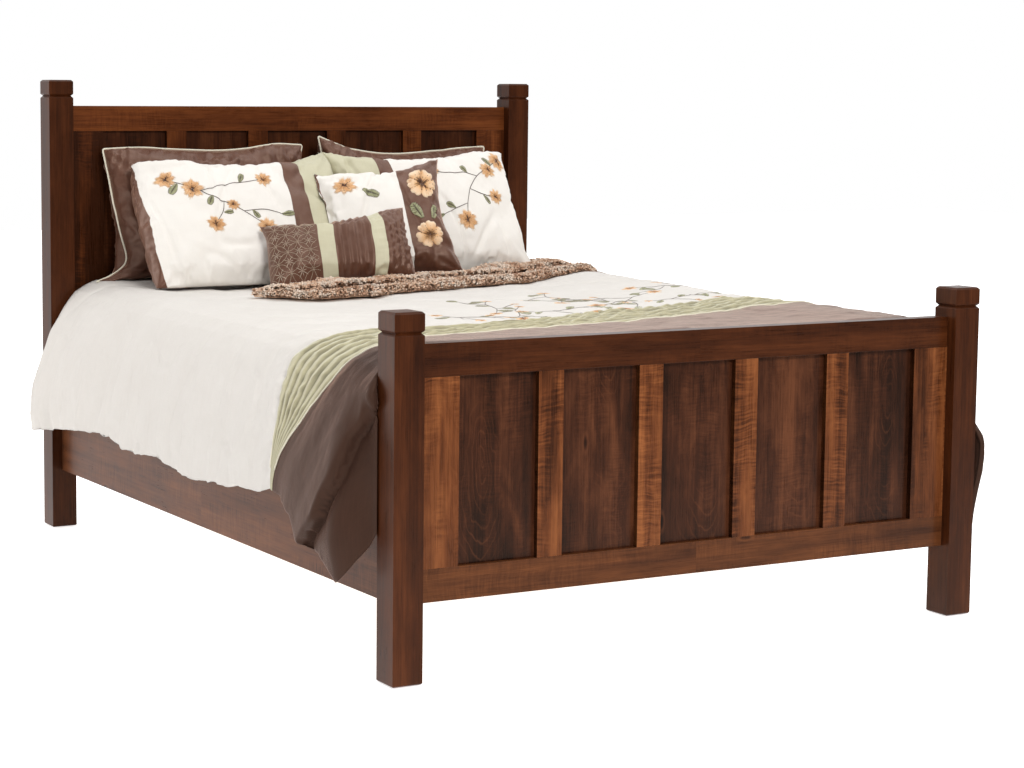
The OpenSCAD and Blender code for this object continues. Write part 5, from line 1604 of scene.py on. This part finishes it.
    # outward is away from the band's own middle, and up on the flats
    up = np.where(nv[:, 2] >= 0, 1.0, -1.0)
    flat = np.abs(nv[:, 2]) > 0.35
    out = np.where(flat, up, np.where((nv[:, 1] < 0), 1.0, -1.0) * np.where(sec[ib, 0] < 0.6, 1, -1))
    nv = nv * out[:, None]
    fwd = -Nn[ia] / np.linalg.norm(Nn[ia], axis=1, keepdims=True)
    tip = np.concatenate([fwd * 0.9, np.full((len(ia), 1), 0.15)], 1)
    nv[-edge_n:] = nv[-edge_n:] * 0.35 + tip[-edge_n:] * rng.uniform(0.5, 1.0, (edge_n, 1))
    nv /= np.maximum(np.linalg.norm(nv, axis=1, keepdims=True), 1e-9)
    base = sample(co) + nv * 0.0035
    uu, vv, dk = sample(np.stack([U, V, dark], -1)).T
    ang = 6.283 * (fbm(uu / 0.028, vv / 0.028, 141, 2) * 1.1 + 0.12 * rng.standard_normal(len(uu)))
    tdir = np.stack([np.cos(ang), np.sin(ang), 0 * ang], -1)
    tdir -= nv * (tdir * nv).sum(1, keepdims=True)
    tdir /= np.maximum(np.linalg.norm(tdir, axis=1, keepdims=True), 1e-6)
    sdir = np.cross(nv, tdir)
    L = (0.0075 + 0.0065 * rng.random(len(uu))) * (1 - 0.5 * dk)
    w = 0.0020 + 0.0018 * rng.random(len(uu))
    L, w = L[:, None], w[:, None]
    rise = 0.45 + 0.35 * rng.random((len(uu), 1))
    pts = np.stack([base + sdir * w, base - sdir * w * 0.5 + tdir * w, base - sdir * w * 0.5 - tdir * w,
                    base + nv * L * rise + tdir * L * 0.45 + sdir * w * 0.8, base + nv * L * rise * 1.05 + tdir * L * 0.45 - sdir * w * 0.8,
                    base + nv * L * rise * 0.85 + tdir * L * 0.95], 1)
    c = fbm(uu / 0.026, vv / 0.026, 133, 2)
    s0 = np.clip(0.52 + 0.75 * c + 0.12 * rng.standard_normal(len(uu)), 0, 1) * (1 - 0.9 * dk)
    sh = np.stack([s0 - 0.16] * 3 + [s0 + 0.04] * 2 + [s0 + 0.20], 1)
    tco = on_bed(pts.reshape(-1, 3))
    tf = []
    for k in range(len(uu)):
        b = k * 6
        tf += [[b + 2, b + 1, b], [b, b + 1, b + 3], [b + 1, b + 4, b + 3], [b + 1, b + 2, b + 4], [b + 2, b, b + 3], [b + 2, b + 3, b + 5], [b + 2, b + 5, b + 4], [b + 3, b + 4, b + 5]]
    g = mesh_object("throw_pile", tco, tf, [mat], attr={"shade": sh.ravel()})
    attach(g, ROOT)
    return o, g, (float(arc[-1]), float(ss[-1]))


# ---------------------------------------------------------------- build
def main():
    camera()
    stage()
    dress_cad()
    cream = cloth("cream_cotton", lin(240, 236, 230), lin(231, 226, 219), 0.0010, 0.70, 0.12)
    cream_q = cloth("cream_cotton_quilt", lin(220, 216, 211), lin(210, 205, 199), 0.0010, 0.72, 0.10, crease=0.22, drape=0.32)
    cream_back = cloth("cream_lining", lin(228, 222, 214), lin(218, 212, 203), 0.0012, 0.8, 0.1)
    sage = cloth("sage_taffeta", lin(206, 201, 174), lin(188, 183, 154), 0.0012, 0.50, 0.40, (0.98, 1.0, 0.92), gloss=0.15, slub=0.9)
    sage_q = cloth("sage_taffeta_quilt", lin(195, 188, 156), lin(175, 168, 137), 0.0012, 0.52, 0.40, (0.97, 1.0, 0.92), gloss=0.10, slub=0.9, tucks=(1.62, 0.25 / 7))
    brown = cloth("brown_taffeta", lin(97, 61, 46), lin(74, 45, 34), 0.0012, 0.34, 0.55, (1.0, 0.62, 0.46), gloss=0.50, slub=0.9, tint=(1.0, 0.74, 0.60))
    # painted shade: the comforter's brown is a darker copy of the brown taffeta, for its side that is turned away from
    # the light
    brown_shaded = cloth("brown_taffeta_quilt_shaded", lin(65, 43, 34), lin(50, 33, 26), 0.0012, 0.52, 0.28, (1.0, 0.60, 0.46), gloss=-0.05, slub=0.9, tint=(1.0, 0.74, 0.60))
    # painted sheen: the brown over the comforter's top is a lighter copy of the brown taffeta, for the sheen it shows
    # there
    brown_crest_painted_sheen = cloth("brown_taffeta_crest_painted_sheen", lin(104, 73, 60), lin(84, 58, 47), 0.0012, 0.45, 0.90, (1.0, 0.80, 0.70), gloss=0.25, slub=0.9, tint=(1.0, 0.82, 0.72), painted_sheen_fade=(0.58, 0.70, lin(60, 40, 31)))
    piping = cloth("piping", lin(232, 226, 206), None, 0.0016, 0.6, 0.2, mode="OBJ")
    ticking = cloth("ticking", lin(236, 233, 226), None, 0.0016, 0.8, 0.1, mode="OBJ")
    tick_side = cloth("ticking_side", lin(226, 222, 213), None, 0.0022, 0.8, 0.1, mode="OBJ")
    box_side = cloth("box_spring_cloth", lin(214, 208, 197), None, 0.002, 0.85, 0.1, mode="OBJ")
    tape = cloth("edge_tape", lin(198, 190, 176), None, 0.0025, 0.7, 0.1, mode="OBJ")
    apricot = thread("apricot_thread", [(0.0, lin(66, 40, 24)), (0.14, lin(120, 74, 38)), (0.36, lin(190, 128, 70)), (0.62, lin(222, 172, 118)), (0.95, lin(238, 214, 184))])
    darkthr = thread("brown_thread", [(0.2, lin(74, 54, 42)), (0.8, lin(104, 82, 66))])
    greenthr = thread("green_thread", [(0.1, lin(74, 70, 48)), (0.5, lin(132, 132, 96)), (0.9, lin(184, 184, 142))])
    lat = thread("lattice_thread", [(0.0, lin(176, 160, 138)), (1.0, lin(214, 202, 182))])
    fur = fur_material("faux_fur")
    threads = (apricot, darkthr, greenthr)

    rounded_block("box_spring_body", "box_spring", 1.524, 2.032, 0.2412, 0.4612, 0.045, (box_side, box_side, tape), 0.004, 0.0)
    rounded_block("mattress_body", "mattress", 1.524, 2.032, 0.4635, 0.7195, 0.070, (tick_side, ticking, tape), 0.008, 0.0030)

    quilt, P, cut, csurf, tcol = comforter([cream_q, sage_q, brown_shaded, cream_back, brown_crest_painted_sheen])
    trims = comforter_trim(P, cut, tcol, {"piping": piping})

    zf = lambda x, y: top_height(x, y) + 0.001
    board = BVHTree.FromPolygons([(-1, 1.0675, 0), (1, 1.0675, 0), (1, 1.0675, 2), (-1, 1.0675, 2)], [(0, 1, 2, 3)])

    def settle(p, pose, others):
        p.place(*pose)
        p.zfloor = zf
        p.floor_at(zf)
        p.clear_of(others)
        p.floor_at(zf, 0.004)
        t = p.tree()
        p.refine()
        return t

    # back shams: brown taffeta, gathered towards the piped edge
    bl = Pillow("back_sham_left_case", 0.690, 0.455, 0.150, seed=11, bending=0.5, cap=0.020, outline=OUTLINES["bl"])
    bl_t = settle(bl, ((-347, 985, 938), 8.4, -3.2, 1.0), [board])
    bl.creases(301, 1.5, top=0.0016, ends=0.0006)
    br = Pillow("back_sham_right_case", 0.680, 0.460, 0.145, seed=13, bending=0.5, cap=0.018, outline=OUTLINES["br"])
    br_t = settle(br, ((340, 985, 944), 7.8, 4.0, -4.0), [board])
    br.creases(311, 1.5, top=0.0016, ends=0.0006)
    # front shams: cream panel between brown and sage bands
    fl = Pillow("front_sham_left_case", 0.680, 0.460, 0.145, edges=[0.036, 0.477, 0.531], seed=17, bending=0.35, cap=0.020, outline=OUTLINES["fl"])
    fl_t = settle(fl, ((-322, 765, 920), 35.2, -4.7, -0.3), [bl_t, br_t])
    fl.slide(lambda U, V: U - 0.032 * sstep(0.45 * fl.h, fl.h, V) * np.clip(1 - np.abs(U - 0.036) / 0.20, 0, 1))
    fl.creases(321, 1.5)
    fr = Pillow("front_sham_right_case", 0.670, 0.455, 0.145, edges=[0.164, 0.214], seed=19, bending=0.35, cap=0.020, outline=OUTLINES["fr"])
    fr_t = settle(fr, ((312, 775, 930), 31.0, -1.0, 0.5), [bl_t, br_t, fl_t])
    fr.creases(331, 1.5)
    sq = Pillow("square_pillow_case", 0.415, 0.415, 0.115, edges=[0.262], seed=23, bending=0.3, cap=0.018, outline=OUTLINES["sq"])
    sq_t = settle(sq, ((97, 622, 919), 32.4, -19.1, 7.3), [fl_t, fr_t])
    sq.creases(341, 1.6)
    ob = Pillow("oblong_pillow_case", 0.445, 0.250, 0.100, edges=[0.164, 0.208, 0.317, 0.356], step=0.0085, seed=29, bending=0.25, cap=0.014, outline=OUTLINES["ob"])
    settle(ob, ((-143, 488, 860), 33.3, -23.6, 8.2), [fl_t, fr_t, sq_t])

    def pleats(U, V):
        d = np.zeros_like(U)
        m = (U > 0.208) & (U < 0.317)
        f = np.mod((U - 0.208) / 0.0218, 1)
        d = np.where(m, 0.0078 * (np.minimum(f / 0.78, 1) ** 0.8 * (1 - sstep(0.80, 1.0, f)) - 0.5) + 0.0009 * vnoise(U / 0.02, V / 0.03, 233), d)
        m = U > 0.356
        q = (U - 0.356) / 0.0200
        tie = 0.5 + 0.5 * np.cos(V / 0.030 * 2 * math.pi + math.pi * np.floor(q + 0.5))
        calm = sstep(0.0, 0.030, np.minimum(V, ob.h - V))
        d = np.where(m, (0.0030 + 0.0040 * calm) * (np.abs(np.sin(q * math.pi)) ** 0.6 - 0.6) + calm * (0.0030 * (tie - 0.5) + 0.0026 * vnoise(U / 0.012, V / 0.011, 235)), d)
        m = (U > 0.317) & (U < 0.356)
        return np.where(m, 0.0022 * vnoise(U / 0.05, V / 0.012, 237), d)
    ob.lift(0, pleats)
    ob.creases(351, 0.55)

    bl.build([brown], lambda L, u, v: 0)
    br.build([brown], lambda L, u, v: 0)
    three = [cream, brown, sage]
    fl.build(three, lambda L, u, v: 1 if (L == 1 or u < 0.036 or 0.477 < u < 0.531) else (2 if u > 0.531 else 0))
    fr.build(three, lambda L, u, v: 1 if (L == 1 or 0.164 < u < 0.214) else (2 if u < 0.164 else 0))
    sq.build(three, lambda L, u, v: 1 if (L == 1 or u > 0.262) else 0)
    ob.build(three, lambda L, u, v: 2 if (0.164 < u < 0.208 or 0.317 < u < 0.356) else 1)
    for p, node in ((bl, "back_sham_left"), (br, "back_sham_right"), (fl, "front_sham_left"), (fr, "front_sham_right"),
                    (sq, "square_pillow"), (ob, "oblong_pillow")):
        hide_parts(node)
    bl.piping(piping, 0.0030)
    br.piping(piping, 0.0030)

    # embroidery, in a layout of its own
    def finish(parts, tag):
        o = join_objects(tag, parts)
        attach(o, ROOT)

    def bough(tag, surf, lines, flowers, leaves):
        parts = [stem(f"{tag}_stem{k}", surf, pts, 0.0012, darkthr) for k, pts in enumerate(lines)]
        for k, (u, v, a, L) in enumerate(leaves):
            leaf(parts, f"{tag}_leaf{k}", surf, u, v, a, L, threads, k)
        for k, (u, v, size, turn) in enumerate(flowers):
            blossom(parts, f"{tag}_f{k}", surf, u, v, size * 1.08, turn, threads, 7 * k + len(lines), 8 + k % 3)
        finish(parts, tag)

    bough("embroidery_front_left", fl.surf,
          [[(0.095, 0.352), (0.150, 0.330), (0.215, 0.300), (0.275, 0.262), (0.330, 0.232), (0.385, 0.180)],
           [(0.215, 0.300), (0.270, 0.318), (0.330, 0.330), (0.400, 0.345)],
           [(0.275, 0.262), (0.268, 0.225), (0.240, 0.190)],
           [(0.330, 0.232), (0.385, 0.240), (0.440, 0.225)]],
          [(0.118, 0.345, 0.034, 0.2), (0.190, 0.305, 0.036, 0.9), (0.405, 0.346, 0.027, 0.4), (0.238, 0.186, 0.029, 1.3), (0.388, 0.176, 0.033, 0.1),
           (0.300, 0.252, 0.020, 0.6)],
          [(0.150, 0.328, -2.2, 0.046), (0.245, 0.285, 4.3, 0.038), (0.330, 0.330, 1.2, 0.034), (0.440, 0.225, 0.1, 0.038), (0.355, 0.237, -1.1, 0.032),
           (0.268, 0.222, 0.2, 0.028)])
    bough("embroidery_front_right", fr.surf,
          [[(0.605, 0.382), (0.560, 0.350), (0.500, 0.315), (0.455, 0.270), (0.430, 0.220), (0.420, 0.175)],
           [(0.500, 0.315), (0.455, 0.335), (0.400, 0.330), (0.350, 0.345)],
           [(0.455, 0.270), (0.500, 0.248), (0.545, 0.245)],
           [(0.430, 0.220), (0.385, 0.205), (0.345, 0.190)]],
          [(0.600, 0.378, 0.036, 0.3), (0.548, 0.335, 0.030, 0.8), (0.350, 0.347, 0.026, 0.5), (0.418, 0.168, 0.036, 1.1), (0.550, 0.245, 0.026, 0.2)],
          [(0.570, 0.355, 2.2, 0.036), (0.470, 0.328, 1.9, 0.032), (0.500, 0.248, -1.0, 0.034), (0.385, 0.205, 2.4, 0.032), (0.345, 0.190, 3.4, 0.036)])
    # square pillow: two padded blossoms down the brown half with leaves between them, a small one on the cream
    parts = []
    applique(parts, "high", sq.surf, 0.332, 0.304, 0.054, 0.90, threads, 3)
    applique(parts, "low", sq.surf, 0.322, 0.120, 0.046, 0.20, threads, 5)
    leaf(parts, "sqleaf0", sq.surf, 0.312, 0.176, 1.95, 0.064, threads, 41)
    leaf(parts, "sqleaf1", sq.surf, 0.344, 0.172, 1.15, 0.058, threads, 42)
    blossom(parts, "small", sq.surf, 0.098, 0.322, 0.046, 0.3, threads, 77, 9)
    leaf(parts, "sqleaf2", sq.surf, 0.150, 0.296, -0.60, 0.052, threads, 43)
    finish(parts, "embroidery_square")
    # oblong pillow: overlapping circles with small eight-point stars between them, in light stitching
    parts, rays = [], []
    R = 0.0330
    inside = lambda u, v: 0.006 < u < 0.161 and 0.006 < v < ob.h - 0.006
    for iu in range(0, 7):
        for iv in range(0, 10):
            if (iu + iv) % 2:
                continue
            cu, cv = 0.004 + iu * R, 0.002 + iv * R
            seg = []
            for q in np.linspace(0, 2 * math.pi, 37):
                u, v = cu + R * math.cos(q), cv + R * math.sin(q)
                if inside(u, v):
                    seg.append((u, v))
                    if q < 6.28:
                        continue
                if len(seg) > 3:
                    parts.append(stem(f"lat{iu}_{iv}_{len(parts)}", ob.surf, seg, 0.00060, lat))
                seg = []
            for q in range(8):
                a = q * math.pi / 4 + 0.2
                r1 = R * (0.62 if q % 2 else 0.42)
                e = (cu + r1 * math.cos(a), cv + r1 * math.sin(a))
                if inside(*e) and inside(cu, cv):
                    rays.append((cu, cv, *e, 0.0012, 0.0012, 0.5, 0.9))
    parts.append(stitches("rays", ob.surf, rays, lat))
    finish(parts, "embroidery_oblong")

    throw, pile, flat = fur_throw(fur)

    # sprigs on the comforter's cream top, near the sage band; u and v are metres on the flat cut
    parts = []
    for k, (u, v, turn, size) in enumerate([(1.30, 1.50, 0.3, 1.0), (1.62, 1.42, 2.6, 1.1), (0.98, 1.48, 0.9, 0.8), (1.90, 1.28, 3.4, 0.9), (1.46, 1.22, 1.8, 0.9), (1.12, 1.30, 5.1, 0.8),
                                             (1.48, 1.36, 4.2, 0.8), (1.75, 1.50, 0.2, 0.7), (1.14, 1.46, 2.2, 0.7)]):
        c, s_ = math.cos(turn), math.sin(turn)
        loc = lambda a, b: (u + size * (a * c - b * s_), v + size * (a * s_ + b * c))
        for q, pts in enumerate([[(-0.16, 0.0), (-0.06, 0.03), (0.05, 0.01), (0.17, 0.05)], [(-0.06, 0.03), (-0.02, 0.09), (0.04, 0.13)], [(0.05, 0.01), (0.10, -0.05), (0.17, -0.07)]]):
            parts.append(stem(f"spr{k}_{q}", csurf, [loc(*p) for p in pts], 0.0019, darkthr))
        for q, (a, b) in enumerate([(0.17, 0.05), (0.045, 0.135), (-0.16, 0.0)]):
            blossom(parts, f"sprf{k}_{q}", csurf, *loc(a, b), (0.030, 0.023, 0.028)[q] * size, turn + q, threads, 31 * k + q, 5 + q)
        for q, (a, b, an) in enumerate([(-0.10, 0.02, 2.2), (0.0, 0.02, -1.0), (0.10, -0.05, 1.2), (0.17, -0.07, -0.5), (0.12, 0.035, -1.2)]):
            leaf(parts, f"sprl{k}_{q}", csurf, *loc(a, b), an + turn, 0.050, threads, 60 + 5 * k + q)
    finish(parts, "embroidery_comforter")


main()
